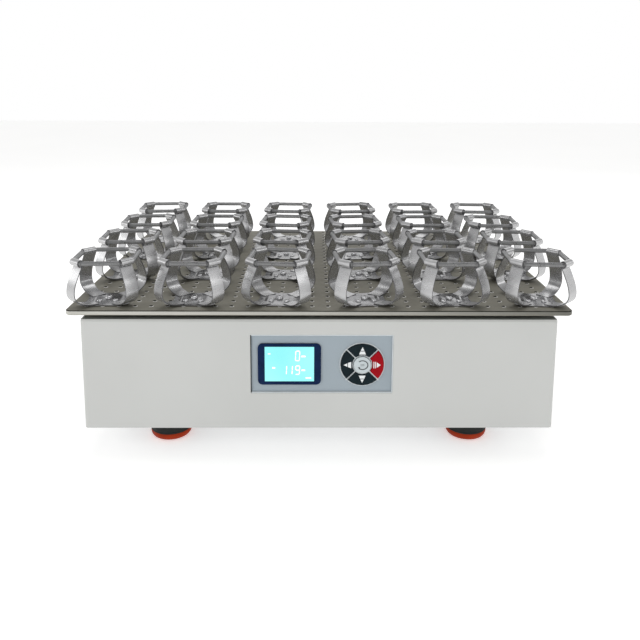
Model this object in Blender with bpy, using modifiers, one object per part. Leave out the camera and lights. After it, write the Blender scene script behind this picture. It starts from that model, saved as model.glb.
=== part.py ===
"""Benchtop orbital shaker: a low sheet-steel case on four rubber feet, a belt-driven eccentric crank with four
idler cranks inside it, and a perforated platform that carries 24 sprung flask clamps and moves on a 20 mm circle.

Frame: metres, +Z up, the front (control panel) towards -Y. The origin is on the floor under the middle of the
platform at rest. The spindle stands 10 mm in front of the crank pin, so the platform rests at the back of its orbit.
"""

import math

import bmesh
import bpy
from mathutils import Matrix, Vector

MM = 0.001
GAP = 0.3 * MM  # clearance between pieces that touch

# Platform plate
PLATE_X, PLATE_Y, PLATE_T = 624 * MM, 456 * MM, 6 * MM
PLATE_TOP = 190 * MM
PLATE_CORNER = 8 * MM
BOLT_XY = 100 * MM  # the four fixing bolts stand on a square of twice this
HOLE_PITCH = 20 * MM

# Orbit
THROW = 10 * MM  # crank eccentricity: a 20 mm orbit
SPINDLE = (0.0, -THROW)
IDLER_X, IDLER_Y = 190 * MM, 130 * MM  # idler pins, from the crank pin

# Case
CASE_X, CASE_Y = 592 * MM, 424 * MM
CASE_BOTTOM, CASE_TOP = 34 * MM, 178 * MM
WALL = 1.8 * MM
CASE_FRONT = SPINDLE[1] - CASE_Y / 2
CASE_BACK = SPINDLE[1] + CASE_Y / 2

# Control panel, as it lies in the case front
PANEL_X0, PANEL_X1 = -86.4 * MM, 91.8 * MM
PANEL_Z0, PANEL_Z1 = 80.6 * MM, 157.4 * MM
SCREEN_X, SCREEN_Z = -37.8 * MM, 118.6 * MM
BEZEL_W, BEZEL_H = 78.8 * MM, 54.0 * MM
LIT_W, LIT_H = 61.8 * MM, 45.4 * MM
PAD_X, PAD_Z, PAD_R = 53.2 * MM, 118.0 * MM, 26.8 * MM
SET_R = 10.7 * MM
KEY_TRAVEL = 0.8 * MM
RIB = 1.6 * MM

# Feet
FOOT_X, FOOT_Y = 198 * MM, 158 * MM
FOOT_R = 27 * MM

# Flask clamps: four rows of six
CLAMP_X = [(-269.5 + 109 * k) * MM for k in range(6)]
CLAMP_Y = [(-186 + 114 * k) * MM for k in range(4)]
CLAMP_TURN = [4, -1, -5, 6, 1, -4]  # degrees that each column is turned on its screw
STRIP_W, STRIP_T = 18 * MM, 1.8 * MM
BULGE_R, BULGE_Z = 52.5 * MM, 19 * MM
TUBE_R, TUBE_Z, TUBE_OR = 42 * MM, 57.2 * MM, 4.6 * MM
SPRING_R = 3.0 * MM

# Drive
MOTOR_X = -120 * MM
PULLEY_GROOVE_R, MOTOR_GROOVE_R = 52 * MM, 16.2 * MM
BELT_T, BELT_GAP = 2.6 * MM, 0.4 * MM
BELT_Z0, BELT_Z1 = 117.5 * MM, 126.5 * MM
CHASSIS_Z0, CHASSIS_Z1 = 70 * MM, 74 * MM
CARRIAGE_Z0, CARRIAGE_Z1 = 179.7 * MM, 183.7 * MM

for old in list(bpy.data.objects):
    bpy.data.objects.remove(old, do_unlink=True)

parts = bpy.data.collections.new("orbital_shaker")
cutters = bpy.data.collections.new("cutters")
bpy.context.scene.collection.children.link(parts)
bpy.context.scene.collection.children.link(cutters)


def material(name, colour, roughness, metallic):
    mat = bpy.data.materials.new(name)
    mat.use_nodes = True
    shader = mat.node_tree.nodes["Principled BSDF"]
    shader.inputs["Base Color"].default_value = (*colour, 1.0)
    shader.inputs["Roughness"].default_value = roughness
    shader.inputs["Metallic"].default_value = metallic
    mat.diffuse_color = (*colour, 1.0)
    return mat


OLIVE = material("olive_anodised", (0.155, 0.145, 0.105), 0.45, 0.6)
STAINLESS = material("stainless", (0.62, 0.62, 0.63), 0.28, 1.0)
CASE_PAINT = material("case_paint", (0.58, 0.58, 0.56), 0.5, 0.0)
GALVANISED = material("galvanised", (0.5, 0.51, 0.52), 0.5, 1.0)
ALUMINIUM = material("aluminium", (0.7, 0.7, 0.71), 0.4, 1.0)
STEEL = material("ground_steel", (0.5, 0.5, 0.52), 0.25, 1.0)
BLACK_OXIDE = material("black_oxide", (0.02, 0.02, 0.022), 0.4, 0.8)
CAST_IRON = material("cast_iron", (0.08, 0.08, 0.085), 0.7, 0.7)
RUBBER = material("belt_rubber", (0.015, 0.015, 0.015), 0.8, 0.0)
FOOT_RUBBER = material("foot_rubber", (0.02, 0.02, 0.02), 0.7, 0.0)
PANEL_BLUE = material("panel_grey_blue", (0.36, 0.42, 0.47), 0.45, 0.0)
NAVY = material("bezel_navy", (0.01, 0.03, 0.12), 0.3, 0.0)
KEY_DARK = material("key_dark", (0.012, 0.022, 0.028), 0.4, 0.0)
KEY_RED = material("key_red", (0.55, 0.01, 0.02), 0.4, 0.0)
KEY_SILVER = material("key_silver", (0.6, 0.62, 0.65), 0.35, 0.3)
BOARD_GREEN = material("circuit_board", (0.01, 0.1, 0.04), 0.5, 0.0)
BLACK_PLASTIC = material("black_plastic", (0.015, 0.015, 0.017), 0.5, 0.0)


def own(obj, name, mat, collection=None):
    """Names an object and puts it in its collection, and nowhere else."""
    obj.name = name
    obj.data.name = name
    for c in list(obj.users_collection):
        c.objects.unlink(obj)
    (collection or parts).objects.link(obj)
    obj.data.materials.clear()
    if mat is not None:
        obj.data.materials.append(mat)
    return obj


def helper(obj):
    obj.hide_render = True
    obj.display_type = "WIRE"
    obj.hide_set(True)
    return obj


def box(name, lo, hi, mat=None, collection=None):
    lo, hi = Vector(lo), Vector(hi)
    bpy.ops.mesh.primitive_cube_add(size=1, location=(lo + hi) / 2)
    obj = bpy.context.object
    obj.data.transform(Matrix.Diagonal((*(hi - lo), 1)))
    return own(obj, name, mat, collection)


def cylinder(name, radius, start, end, sides=24, mat=None, collection=None):
    """A cylinder from one point to another."""
    start, end = Vector(start), Vector(end)
    bpy.ops.mesh.primitive_cylinder_add(
        vertices=sides, radius=radius, depth=(end - start).length, location=(start + end) / 2
    )
    obj = bpy.context.object
    obj.rotation_mode = "QUATERNION"
    obj.rotation_quaternion = (end - start).to_track_quat("Z", "Y")
    for p in obj.data.polygons:
        p.use_smooth = len(p.vertices) == 4
    return own(obj, name, mat, collection)


def turned(name, profile, at, mat=None, steps=24, collection=None):
    """A turned piece on a vertical axis at (x, y). The profile's (radius, height) points run down its outer side:
    from the axis to the axis, or all the way round for a ring."""
    closed = profile[0][0] > 0
    mesh = bpy.data.meshes.new(name)
    points = [(r, 0, z) for r, z in profile]
    edges = [(k, k + 1) for k in range(len(points) - 1)]
    if closed:
        edges.append((len(points) - 1, 0))
    mesh.from_pydata(points, edges, [])
    obj = bpy.data.objects.new(name, mesh)
    obj.location = (at[0], at[1], 0)
    screw = obj.modifiers.new("turn", "SCREW")
    screw.steps = screw.render_steps = steps
    screw.use_merge_vertices = True
    screw.merge_threshold = 0.00001
    screw.use_normal_calculate = False
    return own(obj, name, mat, collection)


def slab(name, outline, thickness, matrix, mat=None, collection=None):
    """A flat outline of (x, y) points, given a thickness evenly about its plane, as a mesh."""
    curve = bpy.data.curves.new(name, "CURVE")
    curve.dimensions = "2D"
    curve.fill_mode = "BOTH"
    curve.extrude = thickness / 2
    spline = curve.splines.new("POLY")
    spline.points.add(len(outline) - 1)
    for point, (x, y) in zip(spline.points, outline):
        point.co = (x, y, 0, 1)
    spline.use_cyclic_u = True
    flat = bpy.data.objects.new(name + "_outline", curve)
    parts.objects.link(flat)
    flat.matrix_world = matrix
    obj = baked(flat, name, mat, collection)
    bpy.data.objects.remove(flat, do_unlink=True)
    return obj


def baked(source, name, mat=None, collection=None):
    """The evaluated shape of an object as a new mesh object in the same place, with its seams welded."""
    bpy.context.view_layer.update()
    graph = bpy.context.evaluated_depsgraph_get()
    mesh = bpy.data.meshes.new_from_object(source.evaluated_get(graph))
    bm = bmesh.new()
    bm.from_mesh(mesh)
    bmesh.ops.remove_doubles(bm, verts=bm.verts, dist=0.000002)
    bmesh.ops.dissolve_limit(bm, angle_limit=math.radians(0.5), verts=bm.verts, edges=bm.edges)
    bmesh.ops.recalc_face_normals(bm, faces=bm.faces)
    bm.to_mesh(mesh)
    bm.free()
    obj = bpy.data.objects.new(name, mesh)
    parts.objects.link(obj)
    obj.matrix_world = source.matrix_world
    return own(obj, name, mat, collection)


def combine(obj, others, operation):
    for k, other in enumerate(others):
        if other.name not in cutters.objects:
            for c in list(other.users_collection):
                c.objects.unlink(other)
            cutters.objects.link(other)
        helper(other)
        mod = obj.modifiers.new(f"{operation.lower()}_{k}", "BOOLEAN")
        mod.object = other
        mod.operation = operation
        mod.solver = "EXACT"
    return obj


def cut(obj, *others):
    return combine(obj, others, "DIFFERENCE")


def join(obj, *others):
    return combine(obj, others, "UNION")


def bevel(obj, width, segments=2, vertical_only=False):
    if vertical_only:
        mod = obj.modifiers.new("round", "BEVEL")
        mod.limit_method = "VGROUP"
        group = obj.vertex_groups.new(name="upright")
        group.add([v.index for v in obj.data.vertices], 1.0, "REPLACE")
        mod.vertex_group = "upright"
    else:
        mod = obj.modifiers.new("round", "BEVEL")
        mod.limit_method = "ANGLE"
    mod.width = width
    mod.segments = segments
    return obj


def circle(radius, sides, centre=(0.0, 0.0), start=0.0):
    return [
        (
            centre[0] + radius * math.cos(start + 2 * math.pi * k / sides),
            centre[1] + radius * math.sin(start + 2 * math.pi * k / sides),
        )
        for k in range(sides)
    ]


def rounded(x0, x1, y0, y1, radius, steps=3):
    """Corners of a rectangle, rounded, anticlockwise."""
    out = []
    for cx, cy, a in (
        (x1 - radius, y1 - radius, 0),
        (x0 + radius, y1 - radius, 90),
        (x0 + radius, y0 + radius, 180),
        (x1 - radius, y0 + radius, 270),
    ):
        for k in range(steps + 1):
            t = math.radians(a + 90 * k / steps)
            out.append((cx + radius * math.cos(t), cy + radius * math.sin(t)))
    return out


def level(z):
    return Matrix.Translation((0, 0, z))


# Stands a drawing in the XZ plane: its x stays x, its y becomes z, and it is centred on the given y.
def upright(y):
    return Matrix.Translation((0, y, 0)) @ Matrix.Rotation(math.pi / 2, 4, "X")


# ---------------------------------------------------------------- case
def make_case():
    shell = box(
        "case_shell",
        (-CASE_X / 2, CASE_FRONT, CASE_BOTTOM),
        (CASE_X / 2, CASE_BACK, CASE_TOP),
        CASE_PAINT,
    )
    bevel(shell, 4 * MM, 2)
    flat_bottom = box(
        "cut_case_bottom",
        (-CASE_X / 2 - MM, CASE_FRONT - MM, CASE_BOTTOM - 3 * MM),
        (CASE_X / 2 + MM, CASE_BACK + MM, CASE_BOTTOM + 4.2 * MM),
    )
    inside = box(
        "cut_case_inside",
        (-CASE_X / 2 + WALL, CASE_FRONT + WALL, CASE_BOTTOM - 4 * MM),
        (CASE_X / 2 - WALL, CASE_BACK - WALL, CASE_TOP - WALL),
    )
    # The case stands on a plain lower edge: the bevelled bottom is cut off and the wall runs down to it.
    skirt = slab(
        "join_case_skirt",
        rounded(-CASE_X / 2, CASE_X / 2, CASE_FRONT, CASE_BACK, 4 * MM, 2),
        8 * MM,
        level(CASE_BOTTOM + 4 * MM),
    )
    cut(shell, flat_bottom)
    join(shell, skirt)
    cut(shell, inside)
    holes = [
        cylinder(
            "cut_hub_opening",
            45 * MM,
            (0, SPINDLE[1], CASE_TOP - 8 * MM),
            (0, SPINDLE[1], CASE_TOP + 5 * MM),
            24,
        )
    ]
    for k, (sx, sy) in enumerate(((-1, -1), (1, -1), (1, 1), (-1, 1))):
        x, y = sx * IDLER_X, sy * IDLER_Y + SPINDLE[1]
        holes.append(
            cylinder(
                f"cut_boss_opening_{k + 1}",
                30 * MM,
                (x, y, CASE_TOP - 8 * MM),
                (x, y, CASE_TOP + 5 * MM),
                16,
            )
        )
    holes.append(
        slab(
            "cut_panel_opening",
            rounded(PANEL_X0, PANEL_X1, PANEL_Z0, PANEL_Z1, 0.8 * MM, 1),
            12 * MM,
            upright(CASE_FRONT),
        )
    )
    holes.append(
        box(
            "cut_inlet_opening",
            (INLET_X - 29.2 * MM, CASE_BACK - 6 * MM, INLET_Z - 13.7 * MM),
            (INLET_X + 29.2 * MM, CASE_BACK + 6 * MM, INLET_Z + 13.7 * MM),
        )
    )
    for k in range(8):
        x = (-150 + 14 * k) * MM
        holes.append(
            slab(
                f"cut_vent_{k + 1}",
                rounded(x - 2 * MM, x + 2 * MM, 76 * MM, 118 * MM, 1.5 * MM, 1),
                12 * MM,
                upright(CASE_BACK),
            )
        )
    cut(shell, *holes)

    pan = box(
        "base_pan",
        (-CASE_X / 2 + WALL + GAP, CASE_FRONT + WALL + GAP, CASE_BOTTOM),
        (CASE_X / 2 - WALL - GAP, CASE_BACK - WALL - GAP, CASE_BOTTOM + 14 * MM),
        GALVANISED,
    )
    pan_inside = box(
        "cut_pan_inside",
        (-CASE_X / 2 + 2 * WALL + GAP, CASE_FRONT + 2 * WALL + GAP, CASE_BOTTOM + 1.5 * MM),
        (CASE_X / 2 - 2 * WALL - GAP, CASE_BACK - 2 * WALL - GAP, CASE_BOTTOM + 20 * MM),
    )
    studs = [
        cylinder(
            f"cut_stud_hole_{k + 1}",
            4.6 * MM,
            (x, y, CASE_BOTTOM - 3 * MM),
            (x, y, CASE_BOTTOM + 5 * MM),
            8,
        )
        for k, (x, y) in enumerate(foot_places())
    ]
    cut(pan, pan_inside, *studs)


def foot_places():
    return [
        (sx * FOOT_X, sy * FOOT_Y + SPINDLE[1])
        for sx, sy in ((-1, -1), (1, -1), (1, 1), (-1, 1))
    ]


def make_feet():
    profile = [
        (0, CASE_BOTTOM + 9 * MM),
        (4 * MM, CASE_BOTTOM + 9 * MM),
        (4 * MM, CASE_BOTTOM - GAP),
        (21 * MM, CASE_BOTTOM - GAP),
        (FOOT_R, 24 * MM),
        (FOOT_R, 4 * MM),
        (24 * MM, 0),
        (0, 0),
    ]
    names = ("foot_front_left", "foot_front_right", "foot_rear_right", "foot_rear_left")
    for name, at in zip(names, foot_places()):
        turned(name, profile, at, FOOT_RUBBER, 20)


# ---------------------------------------------------------------- control panel
def make_panel():
    front, back = CASE_FRONT + WALL + GAP, CASE_FRONT + WALL + GAP + 2 * MM
    panel = slab(
        "control_panel",
        rounded(PANEL_X0 - 6 * MM, PANEL_X1 + 6 * MM, PANEL_Z0 - 6 * MM, PANEL_Z1 + 6 * MM, 3 * MM, 1),
        2 * MM,
        upright((front + back) / 2),
        PANEL_BLUE,
    )
    screen_hole = box(
        "cut_screen_opening",
        (SCREEN_X - LIT_W / 2 - 0.5 * MM, front - 5 * MM, SCREEN_Z - LIT_H / 2 - 0.5 * MM),
        (SCREEN_X + LIT_W / 2 + 0.5 * MM, back + 5 * MM, SCREEN_Z + LIT_H / 2 + 0.5 * MM),
    )
    pad_hole = cylinder(
        "cut_keypad_opening",
        PAD_R + 0.4 * MM,
        (PAD_X, front - 5 * MM, PAD_Z),
        (PAD_X, back + 5 * MM, PAD_Z),
        24,
    )
    cut(panel, screen_hole, pad_hole)
    # The pale cross-shaped web between the keys, moulded with the panel, and the ring round the middle key.
    ribs = []
    for k, turn in enumerate((45, 135)):
        rib = box(
            f"join_key_rib_{k + 1}",
            (-PAD_R - 2.2 * MM, -RIB / 2, 0),
            (PAD_R + 2.2 * MM, RIB / 2, 3.0 * MM),
        )
        # The rib lies in the panel's plane, turned about the pad's centre.
        rib.matrix_world = (
            Matrix.Translation((PAD_X, back - 0.2 * MM, PAD_Z))
            @ Matrix.Rotation(math.pi / 2, 4, "X")
            @ Matrix.Rotation(math.radians(turn), 4, "Z")
            @ rib.matrix_world
        )
        ribs.append(rib)
    ring = cylinder(
        "join_set_ring",
        SET_R + 2.0 * MM,
        (PAD_X, front - 0.9 * MM, PAD_Z),
        (PAD_X, back - 0.3 * MM, PAD_Z),
        16,
    )
    join(panel, *ribs, ring)
    cut(
        panel,
        cylinder(
            "cut_set_opening",
            SET_R + 0.5 * MM,
            (PAD_X, front - 6 * MM, PAD_Z),
            (PAD_X, back + 6 * MM, PAD_Z),
            16,
        ),
    )

    # Display unit: a navy frame in front of the panel, with the lit window set into it.
    unit = slab(
        "display_module",
        rounded(
            SCREEN_X - BEZEL_W / 2,
            SCREEN_X + BEZEL_W / 2,
            SCREEN_Z - BEZEL_H / 2,
            SCREEN_Z + BEZEL_H / 2,
            6 * MM,
            3,
        ),
        1.8 * MM,
        upright(front - GAP - 0.9 * MM),
        NAVY,
    )
    body = box(
        "join_display_body",
        (SCREEN_X - LIT_W / 2, front - 1.2 * MM, SCREEN_Z - LIT_H / 2),
        (SCREEN_X + LIT_W / 2, front + 9 * MM, SCREEN_Z + LIT_H / 2),
    )
    window = box(
        "cut_display_window",
        (SCREEN_X - LIT_W / 2 - 0.1 * MM, front - 6 * MM, SCREEN_Z - LIT_H / 2 - 0.1 * MM),
        (SCREEN_X + LIT_W / 2 + 0.1 * MM, front - GAP - 1.2 * MM, SCREEN_Z + LIT_H / 2 + 0.1 * MM),
    )
    join(unit, body)
    cut(unit, window)

    # Keys: four quarter rings and a round one in the middle, each with a stem to its switch.
    key_front, key_back = CASE_FRONT - 0.5 * MM, front + 1.0 * MM
    stem_end = CASE_FRONT + 8.4 * MM
    for name, turn, mat in (
        ("key_up", 90, KEY_DARK),
        ("key_left", 180, KEY_DARK),
        ("key_down", 270, KEY_DARK),
        ("key_start_stop", 0, KEY_RED),
    ):
        inner, outer = SET_R + 2.5 * MM, PAD_R
        side = RIB / 2 + 0.4 * MM  # clearance from the ribs' middle planes
        a0 = math.pi / 4 - math.asin(side / outer)
        b0 = math.pi / 4 - math.asin(side / inner)
        turn_r = math.radians(turn)
        outline = [
            (PAD_X + outer * math.cos(turn_r + a), PAD_Z + outer * math.sin(turn_r + a))
            for a in (-a0 + 2 * a0 * k / 6 for k in range(7))
        ] + [
            (PAD_X + inner * math.cos(turn_r - b), PAD_Z + inner * math.sin(turn_r - b))
            for b in (-b0 + 2 * b0 * k / 3 for k in range(4))
        ]
        key = slab(name, outline, key_back - key_front, upright((key_front + key_back) / 2), mat)
        middle = (inner + outer) / 2
        x, z = PAD_X + middle * math.cos(turn_r), PAD_Z + middle * math.sin(turn_r)
        join(
            key,
            cylinder(f"join_{name}_stem", 2 * MM, (x, key_back - MM, z), (x, stem_end, z), 6),
        )
        set_origin(key, (x, key_front, z))
    middle_key = cylinder(
        "key_set", SET_R, (PAD_X, key_back, PAD_Z), (PAD_X, key_front - 0.3 * MM, PAD_Z), 24, KEY_SILVER
    )
    join(
        middle_key,
        cylinder("join_key_set_stem", 2 * MM, (PAD_X, key_back - MM, PAD_Z), (PAD_X, stem_end, PAD_Z), 6),
    )

    # Control board, with a switch behind each key.
    board = box(
        "control_board",
        (PANEL_X0 + 4 * MM, CASE_FRONT + 15 * MM, PANEL_Z0 + 3 * MM),
        (PANEL_X1 - 4 * MM, CASE_FRONT + 16.6 * MM, PANEL_Z1 - 3 * MM),
        BOARD_GREEN,
    )
    switches = []
    middle = (SET_R + 2.5 * MM + PAD_R) / 2
    for k, (dx, dz) in enumerate(((0, 0), (0, middle), (-middle, 0), (0, -middle), (middle, 0))):
        x, z = PAD_X + dx, PAD_Z + dz
        switches.append(
            box(
                f"join_switch_{k + 1}",
                (x - 3 * MM, stem_end + KEY_TRAVEL + 0.4 * MM, z - 3 * MM),
                (x + 3 * MM, CASE_FRONT + 15.4 * MM, z + 3 * MM),
            )
        )
    chips = [
        box(
            f"join_chip_{k + 1}",
            (x * MM, CASE_FRONT + 16.2 * MM, z0 * MM),
            ((x + w) * MM, CASE_FRONT + (16.6 + d) * MM, z1 * MM),
        )
        for k, (x, w, z0, z1, d) in enumerate(
            ((-60, 18, 106, 124, 3), (-20, 22, 90, 98, 9), (20, 14, 126, 144, 11), (52, 20, 96, 116, 5))
        )
    ]
    join(board, *switches, *chips)


def set_origin(obj, point):
    """Moves an object's origin to a world point and leaves its shape where it is."""
    shift = obj.matrix_world.inverted() @ Vector(point)
    obj.data.transform(Matrix.Translation(-shift))
    obj.matrix_world = obj.matrix_world @ Matrix.Translation(shift)


# ---------------------------------------------------------------- mains inlet and switch, in the back wall
INLET_X, INLET_Z = 205 * MM, 88 * MM
ROCKER_X = INLET_X - 17 * MM
SOCKET_X = INLET_X + 11 * MM
ROCKER_TILT = 9  # degrees either side of level


def make_inlet():
    body = box(
        "power_inlet",
        (INLET_X - 28.8 * MM, CASE_BACK - 24 * MM, INLET_Z - 13.3 * MM),
        (INLET_X + 28.8 * MM, CASE_BACK + 1.5 * MM, INLET_Z + 13.3 * MM),
        BLACK_PLASTIC,
    )
    flange = slab(
        "join_inlet_flange",
        rounded(INLET_X - 32 * MM, INLET_X + 32 * MM, INLET_Z - 16 * MM, INLET_Z + 16 * MM, 3 * MM, 2),
        2.4 * MM,
        upright(CASE_BACK + GAP + 1.2 * MM),
    )
    # A three-pin appliance socket: a six-sided recess with its pins standing in it.
    w, h, c = 12.2 * MM, 8.2 * MM, 4.5 * MM
    recess = slab(
        "cut_inlet_recess",
        [
            (SOCKET_X - w, INLET_Z - h),
            (SOCKET_X + w, INLET_Z - h),
            (SOCKET_X + w, INLET_Z + h - c),
            (SOCKET_X + w - c, INLET_Z + h),
            (SOCKET_X - w + c, INLET_Z + h),
            (SOCKET_X - w, INLET_Z + h - c),
        ],
        34 * MM,
        upright(CASE_BACK),
    )
    rocker_well = box(
        "cut_rocker_well",
        (ROCKER_X - 6.9 * MM, CASE_BACK - 12 * MM, INLET_Z - 11.2 * MM),
        (ROCKER_X + 6.9 * MM, CASE_BACK + 8 * MM, INLET_Z + 11.2 * MM),
    )
    join(body, flange)
    cut(body, recess, rocker_well)
    pins = [
        box(
            f"join_pin_{k + 1}",
            (SOCKET_X + x - 2 * MM, CASE_BACK - 18.5 * MM, INLET_Z + z - MM),
            (SOCKET_X + x + 2 * MM, CASE_BACK - 2 * MM, INLET_Z + z + MM),
        )
        for k, (x, z) in enumerate(((-7 * MM, -2 * MM), (7 * MM, -2 * MM), (0, 2 * MM)))
    ]
    join(body, *pins)

    # The rocker: a shallow V on the outside and a half-round back, turning on a level pin along X.
    pivot = Vector((ROCKER_X, CASE_BACK - 2.5 * MM, INLET_Z))
    outline = [(5.6 * MM, 9.6 * MM), (4.1 * MM, 0), (5.6 * MM, -9.6 * MM)]
    outline += [
        (9.0 * MM * math.cos(t), 9.0 * MM * math.sin(t))
        for t in (math.radians(-95 - 170 * k / 6) for k in range(7))
    ]
    # Drawn in a plane that stands across X: its x is depth towards the back, its y is height.
    rocker = slab("power_rocker", outline[::-1], 13 * MM, Matrix.Identity(4), BLACK_PLASTIC)
    rocker.matrix_world = (
        Matrix.Translation(pivot)
        @ Matrix.Rotation(math.radians(ROCKER_TILT), 4, "X")
        @ Matrix(((0, 0, 1, 0), (1, 0, 0, 0), (0, 1, 0, 0), (0, 0, 0, 1)))
    )


# ---------------------------------------------------------------- drive
def make_drive():
    sx, sy = SPINDLE
    chassis = box(
        "chassis_plate",
        (-250 * MM, sy - 175 * MM, CHASSIS_Z0),
        (250 * MM, sy + 175 * MM, CHASSIS_Z1),
        GALVANISED,
    )
    legs = [
        box(
            f"join_leg_{k + 1}",
            (x * MM - 9 * MM, y * MM - 9 * MM, CASE_BOTTOM + 1.5 * MM + GAP),
            (x * MM + 9 * MM, y * MM + 9 * MM, CHASSIS_Z0 + MM),
        )
        for k, (x, y) in enumerate(((-235, -170), (235, -170), (235, 150), (-235, 150), (0, -170), (0, 150)))
    ]
    housing = cylinder(
        "join_main_housing", 32 * MM, (sx, sy, CHASSIS_Z1 - MM), (sx, sy, 108 * MM), 20
    )
    tubes, bores = [], []
    for k, (ix, iy) in enumerate(idler_axes()):
        tubes.append(
            cylinder(f"join_idler_tube_{k + 1}", 17 * MM, (ix, iy, CHASSIS_Z1 - MM), (ix, iy, 128 * MM), 12)
        )
        bores.append(
            cylinder(f"cut_idler_bore_{k + 1}", 6.7 * MM, (ix, iy, CHASSIS_Z1 + 0.4 * MM), (ix, iy, 132 * MM), 12)
        )
    join(chassis, *legs, housing, *tubes)
    cut(
        chassis,
        *bores,
        cylinder("cut_main_bore", 24.4 * MM, (sx, sy, CHASSIS_Z1 + 0.5 * MM), (sx, sy, 112 * MM), 20),
        cylinder("cut_spindle_clearance", 14 * MM, (sx, sy, 66 * MM), (sx, sy, 80 * MM), 12),
        cylinder("cut_motor_opening", 44 * MM, (MOTOR_X, sy, 66 * MM), (MOTOR_X, sy, 80 * MM), 20),
    )

    turned(
        "main_bearing",
        [
            (23.7 * MM, 105 * MM),
            (23.7 * MM, 75 * MM),
            (10.4 * MM, 75 * MM),
            (10.4 * MM, 105 * MM),
            (14 * MM, 105 * MM),
            (14.5 * MM, 104 * MM),
            (19.5 * MM, 104 * MM),
            (20 * MM, 105 * MM),
        ],
        SPINDLE,
        STEEL,
        20,
    )
    spindle = turned(
        "main_spindle",
        [
            (0, 138 * MM),
            (30 * MM, 138 * MM),
            (30 * MM, 130 * MM),
            (10 * MM, 130 * MM),
            (10 * MM, 114 * MM),
            (13.5 * MM, 114 * MM),
            (13.5 * MM, 105.6 * MM),
            (10 * MM, 105.6 * MM),
            (10 * MM, 60 * MM),
            (0, 60 * MM),
        ],
        SPINDLE,
        STEEL,
        20,
    )
    join(
        spindle,
        turned(
            "join_crank_pin",
            [
                (0, 170 * MM),
                (7.1 * MM, 170 * MM),
                (7.1 * MM, 145.6 * MM),
                (9.5 * MM, 145.6 * MM),
                (9.5 * MM, 136 * MM),
                (0, 136 * MM),
            ],
            (0, 0),
            None,
            16,
        ),
    )
    g = PULLEY_GROOVE_R
    turned(
        "driven_pulley",
        [
            (g + 3.5 * MM, 129.6 * MM),
            (g + 3.5 * MM, 127.2 * MM),
            (g, 127.2 * MM),
            (g, 116.8 * MM),
            (g + 3.5 * MM, 116.8 * MM),
            (g + 3.5 * MM, 114.4 * MM),
            (10.4 * MM, 114.4 * MM),
            (10.4 * MM, 129.6 * MM),
        ],
        SPINDLE,
        ALUMINIUM,
        28,
    )
    # Counterweight: a sector opposite the crank pin, standing on the crank's web.
    a0, a1 = math.radians(200), math.radians(340)
    outline = [
        (sx + 78 * MM * math.cos(a), sy + 78 * MM * math.sin(a))
        for a in (a0 + (a1 - a0) * k / 10 for k in range(11))
    ] + [
        (sx + 22 * MM * math.cos(a), sy + 22 * MM * math.sin(a))
        for a in (a1 - (a1 - a0) * k / 5 for k in range(6))
    ]
    slab("counterweight", outline, 14 * MM, level(138 * MM + GAP + 7 * MM), CAST_IRON)

    # Motor: hung in the chassis plate on its flange, shaft up.
    motor = turned(
        "motor",
        [
            (0, 111 * MM),
            (13 * MM, 111 * MM),
            (13 * MM, 108 * MM),
            (41 * MM, 108 * MM),
            (42 * MM, 107 * MM),
            (42 * MM, 79 * MM),
            (52 * MM, 79 * MM),
            (52 * MM, CHASSIS_Z1 + GAP),
            (42 * MM, CHASSIS_Z1 + GAP),
            (42 * MM, 50 * MM),
            (40 * MM, 48 * MM),
            (0, 48 * MM),
        ],
        (MOTOR_X, sy),
        BLACK_PLASTIC,
        20,
    )
    cut(
        motor,
        cylinder("cut_motor_shaft_bore", 4.5 * MM, (MOTOR_X, sy, 100 * MM), (MOTOR_X, sy, 120 * MM), 12),
    )
    m = MOTOR_GROOVE_R
    turned(
        "motor_pulley",
        [
            (0, 131 * MM),
            (m + 3.5 * MM, 131 * MM),
            (m + 3.5 * MM, 127.2 * MM),
            (m, 127.2 * MM),
            (m, 116.8 * MM),
            (m + 3.5 * MM, 116.8 * MM),
            (m + 3.5 * MM, 113 * MM),
            (4 * MM, 113 * MM),
            (4 * MM, 101 * MM),
            (0, 101 * MM),
        ],
        (MOTOR_X, sy),
        ALUMINIUM,
        16,
    )

    # Belt: round the big pulley, along the two tangents, round the small one.
    def loop(offset):
        big, small = g + BELT_GAP + offset, m + BELT_GAP + offset
        lean = math.acos((big - small) / (sx - MOTOR_X))
        # Angle from the line of centres, which runs towards -X from the big pulley.
        points = [
            (sx + big * math.cos(a), sy + big * math.sin(a))
            for a in (
                -(math.pi - lean) + 2 * (math.pi - lean) * k / 18 for k in range(19)
            )
        ]
        points += [
            (MOTOR_X + small * math.cos(a), sy + small * math.sin(a))
            for a in (math.pi - lean + 2 * lean * k / 8 for k in range(9))
        ]
        return points

    height = BELT_Z1 - BELT_Z0
    belt = slab("drive_belt", loop(BELT_T), height, level((BELT_Z0 + BELT_Z1) / 2), RUBBER)
    cut(belt, slab("cut_belt_inside", loop(0.0), height + 6 * MM, level((BELT_Z0 + BELT_Z1) / 2)))

    # Idler cranks: each a lower shaft, a web and an upper pin set off by the same throw as the main crank.
    for k, (ix, iy) in enumerate(idler_axes()):
        idler = turned(
            f"idler_crank_{k + 1}",
            [
                (0, 136 * MM),
                (18 * MM, 136 * MM),
                (18 * MM, 128.4 * MM),
                (6.1 * MM, 128.4 * MM),
                (6.1 * MM, 76 * MM),
                (0, 76 * MM),
            ],
            (ix, iy),
            STEEL,
            16,
        )
        join(
            idler,
            cylinder(
                f"join_idler_pin_{k + 1}",
                5 * MM,
                (ix, iy + THROW, 134 * MM),
                (ix, iy + THROW, 168 * MM),
                12,
            ),
        )

    supply = box(
        "power_supply",
        (70 * MM, 10 * MM, CASE_BOTTOM + 1.5 * MM + GAP),
        (200 * MM, 85 * MM, CHASSIS_Z0 - 3 * MM),
        GALVANISED,
    )
    bevel(supply, 1.5 * MM, 1)


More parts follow.
